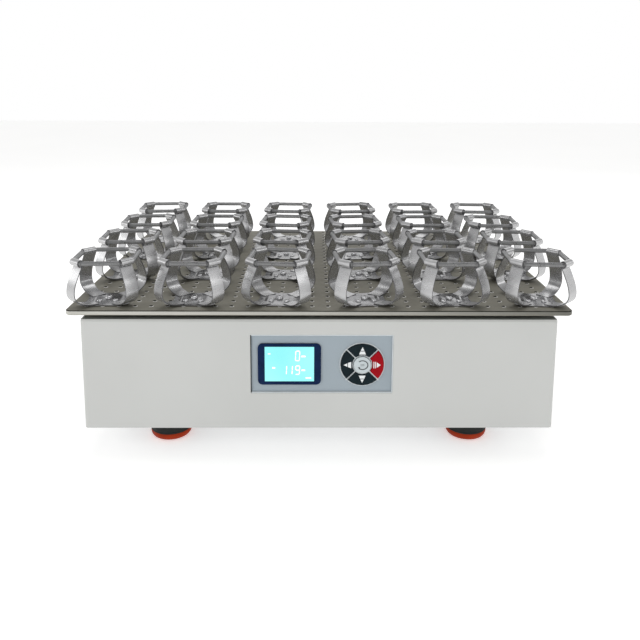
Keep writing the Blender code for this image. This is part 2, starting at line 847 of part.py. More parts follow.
def idler_axes():
    return [
        (a * IDLER_X, b * IDLER_Y + SPINDLE[1])
        for a, b in ((-1, -1), (1, -1), (1, 1), (-1, 1))
    ]


# ---------------------------------------------------------------- platform
def make_platform():
    carriage = box(
        "carriage_frame",
        (-220 * MM, -160 * MM, CARRIAGE_Z0),
        (220 * MM, 160 * MM, CARRIAGE_Z1),
        ALUMINIUM,
    )
    hub = cylinder("join_hub", 25 * MM, (0, 0, 144 * MM), (0, 0, CARRIAGE_Z0 + MM), 20)
    bosses, bores = [], []
    for k, (ix, iy) in enumerate(idler_axes()):
        y = iy + THROW
        bosses.append(
            cylinder(f"join_boss_{k + 1}", 16 * MM, (ix, y, 144 * MM), (ix, y, CARRIAGE_Z0 + MM), 12)
        )
        bores.append(
            cylinder(f"cut_boss_bore_{k + 1}", 5.7 * MM, (ix, y, 140 * MM), (ix, y, 171 * MM), 10)
        )
    bolt_holes = [
        cylinder(
            f"cut_carriage_bolt_{k + 1}",
            3.5 * MM,
            (x, y, CARRIAGE_Z0 - 3 * MM),
            (x, y, CARRIAGE_Z1 + 3 * MM),
            8,
        )
        for k, (x, y) in enumerate(bolt_places())
    ]
    join(carriage, hub, *bosses)
    cut(
        carriage,
        *bores,
        *bolt_holes,
        cylinder("cut_hub_seat", 17.9 * MM, (0, 0, 140 * MM), (0, 0, 158 * MM), 20),
        cylinder("cut_hub_bore", 9.5 * MM, (0, 0, 156 * MM), (0, 0, 173 * MM), 12),
    )
    turned(
        "crank_bearing",
        [
            (17.3 * MM, 157.6 * MM),
            (17.3 * MM, 146 * MM),
            (14.5 * MM, 146 * MM),
            (12.4 * MM, 146.8 * MM),
            (10.3 * MM, 146 * MM),
            (7.5 * MM, 146 * MM),
            (7.5 * MM, 157.6 * MM),
        ],
        (0, 0),
        STEEL,
        20,
    )

    c = PLATE_CORNER
    x, y = PLATE_X / 2, PLATE_Y / 2
    plate = slab(
        "platform_plate",
        rounded(-x, x, -y, y, c, 2),
        PLATE_T,
        level(PLATE_TOP - PLATE_T / 2),
        OLIVE,
    )
    cuts = []
    for k, (bx, by) in enumerate(bolt_places()):
        cuts.append(
            turned(
                f"cut_plate_bolt_{k + 1}",
                [
                    (0, PLATE_TOP + 2 * MM),
                    (5.1 * MM, PLATE_TOP + 2 * MM),
                    (5.1 * MM, PLATE_TOP - 4 * MM),
                    (3.5 * MM, PLATE_TOP - 4 * MM),
                    (3.5 * MM, PLATE_TOP - 12 * MM),
                    (0, PLATE_TOP - 12 * MM),
                ],
                (bx, by),
                None,
                12,
            )
        )
        turned(
            f"plate_bolt_{k + 1}",
            [
                (0, PLATE_TOP - 0.4 * MM),
                (4.7 * MM, PLATE_TOP - 0.4 * MM),
                (4.7 * MM, PLATE_TOP - 3.7 * MM),
                (3.0 * MM, PLATE_TOP - 3.7 * MM),
                (3.0 * MM, CARRIAGE_Z0 - MM),
                (0, CARRIAGE_Z0 - MM),
            ],
            (bx, by),
            BLACK_OXIDE,
            12,
        )
    for i, cx in enumerate(CLAMP_X):
        for j, cy in enumerate(CLAMP_Y):
            cuts.append(
                cylinder(
                    f"cut_stud_r{j + 1}c{i + 1}",
                    2.8 * MM,
                    (cx, cy, PLATE_TOP - 12 * MM),
                    (cx, cy, PLATE_TOP + 6 * MM),
                    6,
                )
            )
    cut(plate, *cuts)


def bolt_places():
    return [(a * BOLT_XY, b * BOLT_XY) for a, b in ((-1, -1), (1, -1), (1, 1), (-1, 1))]


def clamp_half():
    """One side of the stamped strip, as (radius, height): up its outside, round the tube, down its inside."""
    t = STRIP_T
    outside = [(30 * MM, 0.0), (47 * MM, 4.2 * MM), (BULGE_R + t / 2, 17 * MM), (TUBE_R + 0.7 * MM, TUBE_Z - 10 * MM)]
    tube = [
        (TUBE_R + TUBE_OR * math.cos(math.radians(a)), TUBE_Z + TUBE_OR * math.sin(math.radians(a)))
        for a in (250, 330, 30, 90, 180)
    ]
    inside = [
        (TUBE_R - 1.1 * MM, TUBE_Z - 10.8 * MM),
        (BULGE_R - t / 2, 17.2 * MM),
        (46 * MM, 5.9 * MM),
        (29.6 * MM, t),
    ]
    return outside + tube + inside


def make_clamps():
    half = clamp_half()
    outline = half + [(-r, z) for r, z in reversed(half)]
    strips = []
    for k, turn in enumerate((45, 135)):
        strips.append(
            slab(
                f"strip_{k + 1}",
                outline,
                STRIP_W,
                Matrix.Rotation(math.radians(turn), 4, "Z") @ Matrix.Rotation(math.pi / 2, 4, "X"),
                STAINLESS,
            )
        )
    body = strips[0]
    dish = cylinder("join_dish", 27 * MM, (0, 0, 0.5 * MM), (0, 0, 2.8 * MM), 8)
    stud = cylinder("join_stud", 2.2 * MM, (0, 0, -5.8 * MM), (0, 0, 1.0 * MM), 4)
    head = cylinder("join_head", 4.6 * MM, (0, 0, 1.9 * MM), (0, 0, 5.4 * MM), 6)
    # The spring runs straight from each tube to the next.
    spans = []
    half_w = STRIP_W / 2
    for k in range(4):
        a, b = math.radians(45 + 90 * k), math.radians(135 + 90 * k)
        start = Vector((TUBE_R * math.cos(a) - half_w * math.sin(a), TUBE_R * math.sin(a) + half_w * math.cos(a), TUBE_Z))
        end = Vector((TUBE_R * math.cos(b) + half_w * math.sin(b), TUBE_R * math.sin(b) - half_w * math.cos(b), TUBE_Z))
        along = (end - start).normalized()
        spans.append(
            cylinder(f"join_span_{k + 1}", SPRING_R, start - along * 2 * MM, end + along * 2 * MM, 3)
        )
    join(body, strips[1], dish, stud, head, *spans)
    pattern = baked(body, "clamp_pattern", STAINLESS)
    pattern.data.transform(pattern.matrix_world)
    helper(body)
    body.name = "join_strip_1"
    for c in list(body.users_collection):
        c.objects.unlink(body)
    cutters.objects.link(body)
    for j, cy in enumerate(CLAMP_Y):
        for i, cx in enumerate(CLAMP_X):
            clamp = bpy.data.objects.new(f"flask_clamp_r{j + 1}c{i + 1}", pattern.data)
            clamp.location = (cx, cy, PLATE_TOP + GAP)
            clamp.rotation_euler = (0, 0, math.radians(CLAMP_TURN[i]))
            parts.objects.link(clamp)
    bpy.data.objects.remove(pattern, do_unlink=True)


make_case()
make_feet()
make_panel()
make_inlet()
make_drive()
make_platform()
make_clamps()

for obj in parts.objects:
    obj.data.shade_smooth()
    obj.data.set_sharp_from_angle(angle=math.radians(35))
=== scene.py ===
"""Looks of the benchtop orbital shaker: perforated platform, 24 sprung flask clamps, case with a lit display and
five keys, and four rubber feet. Metres, +Z up, the front towards -Y, as in the CAD frame."""
import math

import bmesh
import bpy
from mathutils import Matrix, Vector


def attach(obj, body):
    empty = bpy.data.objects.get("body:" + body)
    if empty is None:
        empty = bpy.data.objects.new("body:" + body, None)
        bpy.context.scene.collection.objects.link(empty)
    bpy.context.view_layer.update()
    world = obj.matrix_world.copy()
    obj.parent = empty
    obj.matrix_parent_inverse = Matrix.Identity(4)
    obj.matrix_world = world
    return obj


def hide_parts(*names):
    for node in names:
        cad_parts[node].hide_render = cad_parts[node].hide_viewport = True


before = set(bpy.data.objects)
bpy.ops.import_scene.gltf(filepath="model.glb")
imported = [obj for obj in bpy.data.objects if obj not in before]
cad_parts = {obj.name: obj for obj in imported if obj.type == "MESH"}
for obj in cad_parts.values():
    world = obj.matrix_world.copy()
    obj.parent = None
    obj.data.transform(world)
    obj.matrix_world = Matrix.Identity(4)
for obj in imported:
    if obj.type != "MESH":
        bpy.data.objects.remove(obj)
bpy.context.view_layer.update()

MM = 0.001

# ------------------------------------------------------------------ sizes that part.py also uses
PLATE_X, PLATE_Y, PLATE_TOP, PLATE_T = 624 * MM, 456 * MM, 190 * MM, 6 * MM
PITCH, HOLE_R = 20 * MM, 2.35 * MM
COLS, ROWS = 30, 22
BOLT_XY = 100 * MM
CASE_FRONT, CASE_BACK = -222 * MM, 202 * MM
CLAMP_X = [(-269.5 + 109 * k) * MM for k in range(6)]
CLAMP_Y = [(-186 + 114 * k) * MM for k in range(4)]
CLAMP_TURN = [4, -1, -5, 6, 1, -4]
CLAMP_Z = PLATE_TOP + 0.3 * MM
TUBE_R, TUBE_Z = 42 * MM, 57.2 * MM
SCREEN_X, SCREEN_Z = -37.8 * MM, 118.6 * MM
BEZEL_W, BEZEL_H = 78.8 * MM, 54.0 * MM
LIT_W, LIT_H = 61.8 * MM, 45.4 * MM
PANEL_X0, PANEL_X1, PANEL_Z0, PANEL_Z1 = -86.4 * MM, 91.8 * MM, 80.6 * MM, 157.4 * MM
PAD_X, PAD_Z, PAD_R, SET_R = 53.2 * MM, 118.0 * MM, 26.8 * MM, 10.7 * MM
KEY_FRONT = CASE_FRONT - 0.5 * MM
FEET = {
    "foot_front_left": (-198 * MM, -168 * MM),
    "foot_front_right": (198 * MM, -168 * MM),
    "foot_rear_right": (198 * MM, 148 * MM),
    "foot_rear_left": (-198 * MM, 148 * MM),
}

scene = bpy.context.scene
pieces = bpy.data.collections.new("pieces")
scene.collection.children.link(pieces)


# ------------------------------------------------------------------ materials
class Nodes:
    """A short way to write a node tree: each call adds one node and returns its output."""

    def __init__(self, mat):
        self.tree = mat.node_tree
        self.tree.nodes.clear()
        self.out = self.tree.nodes.new("ShaderNodeOutputMaterial")
        self.shader = self.tree.nodes.new("ShaderNodeBsdfPrincipled")
        self.tree.links.new(self.shader.outputs[0], self.out.inputs["Surface"])
        self.coord = self.tree.nodes.new("ShaderNodeTexCoord")

    def link(self, a, b):
        self.tree.links.new(a, b)

    def put(self, socket, value):
        if isinstance(value, (int, float)):
            socket.default_value = value
        elif isinstance(value, tuple):
            socket.default_value = value if len(value) == len(socket.default_value) else (*value, 1.0)
        else:
            self.link(value, socket)

    def scaled(self, x, y, z):
        node = self.tree.nodes.new("ShaderNodeMapping")
        node.inputs["Scale"].default_value = (x, y, z)
        self.link(self.coord.outputs["Object"], node.inputs["Vector"])
        return node.outputs[0]

    def noise(self, scale, detail=3.0, rough=0.5, vector=None):
        node = self.tree.nodes.new("ShaderNodeTexNoise")
        node.inputs["Scale"].default_value = scale
        node.inputs["Detail"].default_value = detail
        node.inputs["Roughness"].default_value = rough
        self.link(vector if vector is not None else self.coord.outputs["Object"], node.inputs["Vector"])
        return node.outputs["Fac"]

    def voronoi(self, scale, feature="F1", vector=None):
        node = self.tree.nodes.new("ShaderNodeTexVoronoi")
        node.feature = feature
        node.inputs["Scale"].default_value = scale
        self.link(vector if vector is not None else self.coord.outputs["Object"], node.inputs["Vector"])
        return node.outputs["Distance"]

    def ramp(self, fac, stops):
        node = self.tree.nodes.new("ShaderNodeValToRGB")
        while len(node.color_ramp.elements) < len(stops):
            node.color_ramp.elements.new(0.5)
        for element, (place, colour) in zip(node.color_ramp.elements, stops):
            element.position = place
            element.color = colour if len(colour) == 4 else (*colour, 1.0)
        self.link(fac, node.inputs["Fac"])
        return node.outputs["Color"]

    def span(self, value, a, b, lo=0.0, hi=1.0):
        node = self.tree.nodes.new("ShaderNodeMapRange")
        node.inputs["From Min"].default_value = a
        node.inputs["From Max"].default_value = b
        node.inputs["To Min"].default_value = lo
        node.inputs["To Max"].default_value = hi
        self.link(value, node.inputs["Value"])
        return node.outputs["Result"]

    def math(self, kind, a, b=0.0):
        node = self.tree.nodes.new("ShaderNodeMath")
        node.operation = kind
        self.put(node.inputs[0], a)
        self.put(node.inputs[1], b)
        return node.outputs[0]

    def mix(self, fac, a, b):
        node = self.tree.nodes.new("ShaderNodeMix")
        node.data_type = "RGBA"
        self.put(node.inputs[0], fac)
        self.put(node.inputs[6], a)
        self.put(node.inputs[7], b)
        return node.outputs[2]

    def axis(self, which, kind="Object"):
        node = self.tree.nodes.new("ShaderNodeSeparateXYZ")
        self.link(self.coord.outputs[kind], node.inputs[0])
        return node.outputs[which]

    def bump(self, height, strength, distance=0.0003):
        node = self.tree.nodes.new("ShaderNodeBump")
        node.inputs["Strength"].default_value = strength
        node.inputs["Distance"].default_value = distance
        self.link(height, node.inputs["Height"])
        self.link(node.outputs["Normal"], self.shader.inputs["Normal"])

    def set(self, **values):
        names = {
            "colour": "Base Color", "metal": "Metallic", "rough": "Roughness", "coat": "Coat Weight",
            "coat_rough": "Coat Roughness", "spec": "Specular IOR Level", "emit": "Emission Color",
            "emit_strength": "Emission Strength", "aniso": "Anisotropic",
        }
        for key, value in values.items():
            self.put(self.shader.inputs[names[key]], value)


MATS = {}


def new_mat(name):
    mat = bpy.data.materials.new(name)
    mat.use_nodes = True
    MATS[name] = mat
    return mat, Nodes(mat)


def dim(c, k):
    return tuple(v * k for v in c)


def cast_or_sheet(name, colour, rough, metal, grain=900, depth=0.15, vary=0.12, blotch=30, coat=0.0, spec=0.5):
    """A plain finish with fine grain, slight patchiness in tone, and roughness that follows the patches."""
    mat, n = new_mat(name)
    patches = n.noise(blotch, 3.0)
    tone = n.ramp(patches, [(0.3, dim(colour, 1 - vary)), (0.7, dim(colour, 1 + vary * 0.5))])
    n.set(colour=tone, metal=metal, rough=n.span(patches, 0.3, 0.7, rough - 0.06, rough + 0.07), coat=coat, spec=spec)
    n.bump(n.noise(grain, 2.0), depth)
    return mat


def drawn_metal(name, colour, rough, along=(1, 1, 30), vary=0.18, depth=0.06, scale=120, metal=1.0):
    """Rolled, drawn or ground metal: streaks across one axis, in tone, roughness and height."""
    mat, n = new_mat(name)
    streaks = n.noise(scale, 4.0, 0.6, n.scaled(*along))
    patches = n.noise(45, 2.0)
    both = n.math("ADD", n.math("MULTIPLY", streaks, 0.65), n.math("MULTIPLY", patches, 0.35))
    n.set(
        colour=n.ramp(both, [(0.35, dim(colour, 1 - vary)), (0.62, dim(colour, 1 + vary * 0.4))]),
        metal=metal,
        rough=n.span(both, 0.35, 0.65, rough - 0.05, rough + 0.08),
    )
    n.bump(streaks, depth, 0.0002)
    return mat


def make_materials():
    # Platform: satin olive-grey anodised aluminium, faintly blotched, with a fine rolled grain along X.
    mat, n = new_mat("olive_plate")
    patches = n.noise(9, 4.0, 0.6)
    grain = n.noise(500, 2.0, 0.6, n.scaled(0.12, 1, 1))
    tone = n.ramp(patches, [(0.32, (0.206, 0.197, 0.163)), (0.5, (0.238, 0.227, 0.186)), (0.68, (0.264, 0.254, 0.214))])
    tone = n.mix(n.span(grain, 0.3, 0.75, 0.0, 0.22), tone, (0.07, 0.068, 0.058))
    n.set(colour=tone, metal=0.12, rough=n.span(patches, 0.3, 0.7, 0.55, 0.66), spec=0.3)
    n.bump(grain, 0.12, 0.0002)

    # The plate's sawn and brushed edge, paler than its faces; its fall from pale at the left to dark at the right is a
    # painted reflection of light from the left.
    mat, n = new_mat("plate_edge")
    # Tone by X: painted reflection, pale at the left and dark at the right.
    side = n.span(n.axis(0), -0.25, 0.30)
    grain = n.noise(260, 3.0, 0.6, n.scaled(0.05, 1, 1))
    pale = n.ramp(side, [(0.0, (0.56, 0.555, 0.51)), (0.5, (0.42, 0.415, 0.375)), (1.0, (0.14, 0.138, 0.118))])
    n.set(colour=n.mix(n.span(grain, 0.3, 0.8, 0.0, 0.3), pale, (0.2, 0.195, 0.17)), metal=0.35, rough=0.42)
    n.bump(grain, 0.15, 0.0002)

    # The eased rims of the holes, pale: a painted highlight on their front and right.
    drawn_metal("hole_rim_highlight", (0.86, 0.855, 0.82), 0.4, along=(1, 1, 1), vary=0.1, depth=0.03, scale=300, metal=0.3)
    # Near-black painted shade for the hole walls, and a painted shadow line along the plate's top edge.
    cast_or_sheet("painted_shade_black", (0.016, 0.015, 0.012), 0.6, 0.0, grain=900, depth=0.2, vary=0.3, blotch=200, spec=0.1)

    # Clamps: bright rolled stainless with faint streaks along the strip.
    drawn_metal("stainless", (0.49, 0.49, 0.495), 0.24, along=(0.25, 0.25, 1.6), vary=0.06, depth=0.008, scale=60, metal=0.8)
    # The bowl takes a darker copy of the clamp steel: painted shade between the arms.
    drawn_metal("bowl_steel_shaded", (0.27, 0.27, 0.275), 0.15, along=(1, 1, 1), vary=0.12, depth=0.012, scale=40, metal=0.9)
    # A darker copy of the clamp steel for the strips' narrow sides: painted shade.
    drawn_metal("strip_side_shade", (0.13, 0.13, 0.135), 0.35, along=(1, 1, 1), vary=0.12, depth=0.01, scale=80, metal=0.8)
    drawn_metal("spring_steel", (0.40, 0.40, 0.405), 0.3, along=(3, 3, 3), vary=0.12, depth=0.02, scale=200, metal=0.85)
    drawn_metal("screw_steel", (0.62, 0.62, 0.63), 0.16, along=(1, 1, 8), vary=0.08, depth=0.02)

    # Case: light grey powder coat with fine orange peel. The top face, under the platform, is painted dark grey:
    # painted shade of the platform above.
    mat, n = new_mat("case_paint")
    patches = n.noise(4, 3.0, 0.55)
    tone = n.ramp(patches, [(0.3, (0.535, 0.542, 0.527)), (0.7, (0.578, 0.586, 0.571))])
    face = n.tree.nodes.new("ShaderNodeSeparateXYZ")
    n.link(n.coord.outputs["Normal"], face.inputs[0])
    # Upward faces take the dark grey: painted shade under the platform.
    up = n.span(face.outputs[2], 0.75, 0.92)
    tone = n.mix(up, tone, (0.155, 0.165, 0.156))
    n.set(colour=tone, metal=0.0, rough=n.span(patches, 0.3, 0.7, 0.42, 0.52), coat=0.12, coat_rough=0.3)
    n.bump(n.noise(700, 2.0), 0.18, 0.00015)

    # Panel: grey-blue fascia. The ribs and the ring that stand out between the keys are pale.
    mat, n = new_mat("panel_grey_blue")
    patches = n.noise(14, 3.0)
    tone = n.ramp(patches, [(0.3, (0.318, 0.372, 0.413)), (0.7, (0.350, 0.406, 0.447))])
    proud = n.span(n.axis(1), -0.2201, -0.2205)
    n.set(colour=n.mix(proud, tone, (0.60, 0.64, 0.66)), rough=n.span(patches, 0.3, 0.7, 0.42, 0.5), spec=0.3)
    n.bump(n.noise(1500, 2.0), 0.1, 0.0001)

    # Display frame, navy and glossy, faintly patchy in tone and gloss.
    mat, n = new_mat("display_frame")
    patches = n.noise(60, 2.0)
    n.set(
        colour=n.ramp(patches, [(0.3, (0.003, 0.013, 0.050)), (0.7, (0.004, 0.018, 0.072))]),
        rough=n.span(patches, 0.3, 0.7, 0.24, 0.34), spec=0.08,
    )
    n.bump(n.noise(900, 2.0), 0.03, 0.0001)

    # Lit display: pale cyan, faintly patchy in brightness, with the faint grid of the panel.
    mat, n = new_mat("screen")
    glow = n.noise(18, 1.0)
    cells = n.voronoi(1100)
    lit = n.ramp(glow, [(0.3, (0.28, 0.93, 0.93)), (0.7, (0.39, 1.0, 0.99))])
    n.set(colour=(0.02, 0.08, 0.1), emit=lit, emit_strength=0.92, rough=n.span(cells, 0.0, 1.0, 0.22, 0.4), coat=0.3)
    n.bump(cells, 0.02, 0.0001)
    mat, n = new_mat("screen_digit")
    n.set(colour=(0.7, 0.75, 0.72), emit=n.ramp(n.noise(300, 1.0), [(0.3, (0.86, 0.97, 0.92)), (0.7, (0.96, 1.0, 0.97))]),
          emit_strength=0.98, rough=0.4)

    cast_or_sheet("key_dark", (0.0075, 0.0165, 0.0215), 0.4, 0.0, grain=1800, depth=0.12, vary=0.25, blotch=90, spec=0.08)
    cast_or_sheet("key_red", (0.345, 0.004, 0.010), 0.38, 0.0, grain=1800, depth=0.12, vary=0.12, blotch=90, spec=0.06)
    cast_or_sheet("key_silver", (0.54, 0.60, 0.62), 0.34, 0.15, grain=1800, depth=0.1, vary=0.08, blotch=90)
    cast_or_sheet("marking_white", (0.80, 0.83, 0.84), 0.45, 0.0, grain=1500, depth=0.05, vary=0.05, blotch=200)
    cast_or_sheet("marking_dark", (0.03, 0.035, 0.04), 0.45, 0.0, grain=1500, depth=0.05, vary=0.2, blotch=200)
    # Near-black for the left trim bar: a painted shadow on the opening's left side.
    cast_or_sheet("trim_painted_shadow", (0.045, 0.050, 0.052), 0.5, 0.0, grain=1500, depth=0.06, vary=0.15, blotch=80, spec=0.2)
    cast_or_sheet("pale_trim", (0.60, 0.64, 0.66), 0.36, 0.1, grain=1500, depth=0.06, vary=0.08, blotch=80)
    cast_or_sheet("foot_rubber", (0.018, 0.020, 0.019), 0.55, 0.0, grain=1200, depth=0.35, vary=0.3, blotch=70, spec=0.2)
    cast_or_sheet("foot_sole", (0.36, 0.032, 0.005), 0.5, 0.0, grain=1200, depth=0.3, vary=0.2, blotch=60, spec=0.12)
    cast_or_sheet("belt_rubber", (0.015, 0.015, 0.015), 0.7, 0.0, grain=900, depth=0.4, vary=0.3)
    cast_or_sheet("black_plastic", (0.017, 0.017, 0.018), 0.45, 0.0, grain=1700, depth=0.35, vary=0.2, blotch=60)
    cast_or_sheet("rocker_plastic", (0.014, 0.014, 0.015), 0.22, 0.0, grain=1500, depth=0.05, vary=0.2, coat=0.3)
    cast_or_sheet("cast_iron", (0.05, 0.05, 0.052), 0.72, 0.6, grain=500, depth=0.6, vary=0.3, blotch=80)
    cast_or_sheet("motor_black", (0.02, 0.02, 0.022), 0.45, 0.0, grain=1100, depth=0.3, vary=0.25)
    cast_or_sheet("black_oxide", (0.022, 0.022, 0.024), 0.36, 0.8, grain=1300, depth=0.2, vary=0.3, blotch=200)
    cast_or_sheet("circuit_board", (0.008, 0.085, 0.035), 0.42, 0.0, grain=700, depth=0.2, vary=0.25, blotch=120)
    # Zinc-plated sheet: spangle in tone and roughness.
    mat, n = new_mat("galvanised")
    cells = n.voronoi(110)
    n.set(colour=n.ramp(cells, [(0.0, (0.36, 0.37, 0.38)), (0.8, (0.56, 0.57, 0.58))]), metal=0.9,
          rough=n.span(cells, 0.0, 0.8, 0.36, 0.54))
    n.bump(cells, 0.05, 0.0002)
    drawn_metal("aluminium", (0.62, 0.62, 0.63), 0.34, along=(1, 12, 1), vary=0.12)
    drawn_metal("bearing_steel", (0.50, 0.50, 0.52), 0.22, along=(1, 1, 14), vary=0.14)

    mat, n = new_mat("studio_floor")
    patches = n.noise(2, 2.0)
    lit = n.ramp(patches, [(0.3, (0.93, 0.93, 0.925)), (0.7, (0.95, 0.95, 0.945))])
    n.set(colour=lit, emit=lit, emit_strength=0.46, rough=n.span(patches, 0.3, 0.7, 0.75, 0.85), spec=0.1)
    n.bump(n.noise(120, 2.0), 0.03)


# ------------------------------------------------------------------ mesh helpers
def piece(name, verts, faces, mats, body, slot, face_mats=None, sharp=32, at=None, turn=0.0, mesh=None):
    """A new mesh piece that rides on a body, with its materials. The slot argument is not used."""
    if mesh is None:
        mesh = bpy.data.meshes.new(name)
        mesh.from_pydata([tuple(v) for v in verts], [], faces)
        bm = bmesh.new()
        bm.from_mesh(mesh)
        bmesh.ops.recalc_face_normals(bm, faces=bm.faces)
        bm.to_mesh(mesh)
        bm.free()
        for m in mats:
            mesh.materials.append(MATS[m])
        if face_mats:
            for poly, k in zip(mesh.polygons, face_mats):
                poly.material_index = k
        mesh.shade_smooth()
        mesh.set_sharp_from_angle(angle=math.radians(sharp))
    obj = bpy.data.objects.new(name, mesh)
    pieces.objects.link(obj)
    if at is not None:
        obj.location = at
    obj.rotation_euler = (0, 0, turn)
    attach(obj, body)
    return obj


class Build:
    """Collects vertices and faces, with a material number for each face."""

    def __init__(self):
        self.v, self.f, self.m = [], [], []

    def add(self, verts, faces, mat=0, matrix=None):
        k = len(self.v)
        self.v += [tuple(matrix @ Vector(v)) if matrix is not None else tuple(v) for v in verts]
        self.f += [tuple(i + k for i in f) for f in faces]
        self.m += [mat] * len(faces)
        return self


def lathe(profile, steps=48):
    """A closed turned shape about Z. The profile runs from the axis to the axis, or all round for a ring."""
    verts, faces = [], []
    on_axis = [p[0] < 1e-7 for p in profile]
    rows = []
    for (r, z), axis in zip(profile, on_axis):
        if axis:
            rows.append([len(verts)])
            verts.append((0, 0, z))
        else:
            row = []
            for k in range(steps):
                a = 2 * math.pi * k / steps
                row.append(len(verts))
                verts.append((r * math.cos(a), r * math.sin(a), z))
            rows.append(row)
    pairs = list(zip(rows[:-1], rows[1:]))
    if not on_axis[0]:
        pairs.append((rows[-1], rows[0]))
    for a, b in pairs:
        for k in range(steps):
            j = (k + 1) % steps
            if len(a) == 1 and len(b) == 1:
                continue
            if len(a) == 1:
                faces.append((a[0], b[k], b[j]))
            elif len(b) == 1:
                faces.append((a[k], b[0], a[j]))
            else:
                faces.append((a[k], b[k], b[j], a[j]))
    return verts, faces


def prism(outline, y0, y1, edge=0.0):
    """An outline of (x, z) points as a plate between two depths, its front edge (at y0) eased by a small chamfer."""
    n = len(outline)
    cx = sum(p[0] for p in outline) / n
    cz = sum(p[1] for p in outline) / n
    verts = []
    if edge:
        inner = []
        for i, (x, z) in enumerate(outline):
            ax, az = outline[i - 1]
            bx, bz = outline[(i + 1) % n]
            ta = Vector((x - ax, z - az)).normalized()
            tb = Vector((bx - x, bz - z)).normalized()
            na, nb = Vector((-ta.y, ta.x)), Vector((-tb.y, tb.x))
            m = (na + nb)
            m = m.normalized() if m.length > 1e-9 else na
            k = edge / max(0.35, m.dot(na))
            p = Vector((x, z)) + m * k
            if (p - Vector((cx, cz))).length > (Vector((x, z)) - Vector((cx, cz))).length:
                p = Vector((x, z)) - m * k
            inner.append((p.x, p.y))
        rings = [(inner, y0), (outline, y0 + edge), (outline, y1)]
    else:
        rings = [(outline, y0), (outline, y1)]
    for ring, y in rings:
        verts += [(x, y, z) for x, z in ring]
    faces = [tuple(range(n))[::-1], tuple(range((len(rings) - 1) * n, len(rings) * n))]
    for r in range(len(rings) - 1):
        for i in range(n):
            j = (i + 1) % n
            faces.append((r * n + i, r * n + j, (r + 1) * n + j, (r + 1) * n + i))
    return verts, faces


def rounded(x0, x1, z0, z1, radius, steps=6):
    out = []
    for cx, cz, a in (
        (x1 - radius, z1 - radius, 0), (x0 + radius, z1 - radius, 90),
        (x0 + radius, z0 + radius, 180), (x1 - radius, z0 + radius, 270),
    ):
        for k in range(steps + 1):
            t = math.radians(a + 90 * k / steps)
            out.append((cx + radius * math.cos(t), cz + radius * math.sin(t)))
    return out


def catmull(points, per=5):
    out = []
    for i in range(len(points) - 1):
        p0 = Vector(points[max(i - 1, 0)])
        p1, p2 = Vector(points[i]), Vector(points[i + 1])
        p3 = Vector(points[min(i + 2, len(points) - 1)])
        for k in range(per):
            t = k / per
            out.append(
                0.5 * ((2 * p1) + (p2 - p0) * t + (2 * p0 - 5 * p1 + 4 * p2 - p3) * t * t + (3 * p1 - p0 - 3 * p2 + p3) * t ** 3)
            )
    out.append(Vector(points[-1]))
    return out


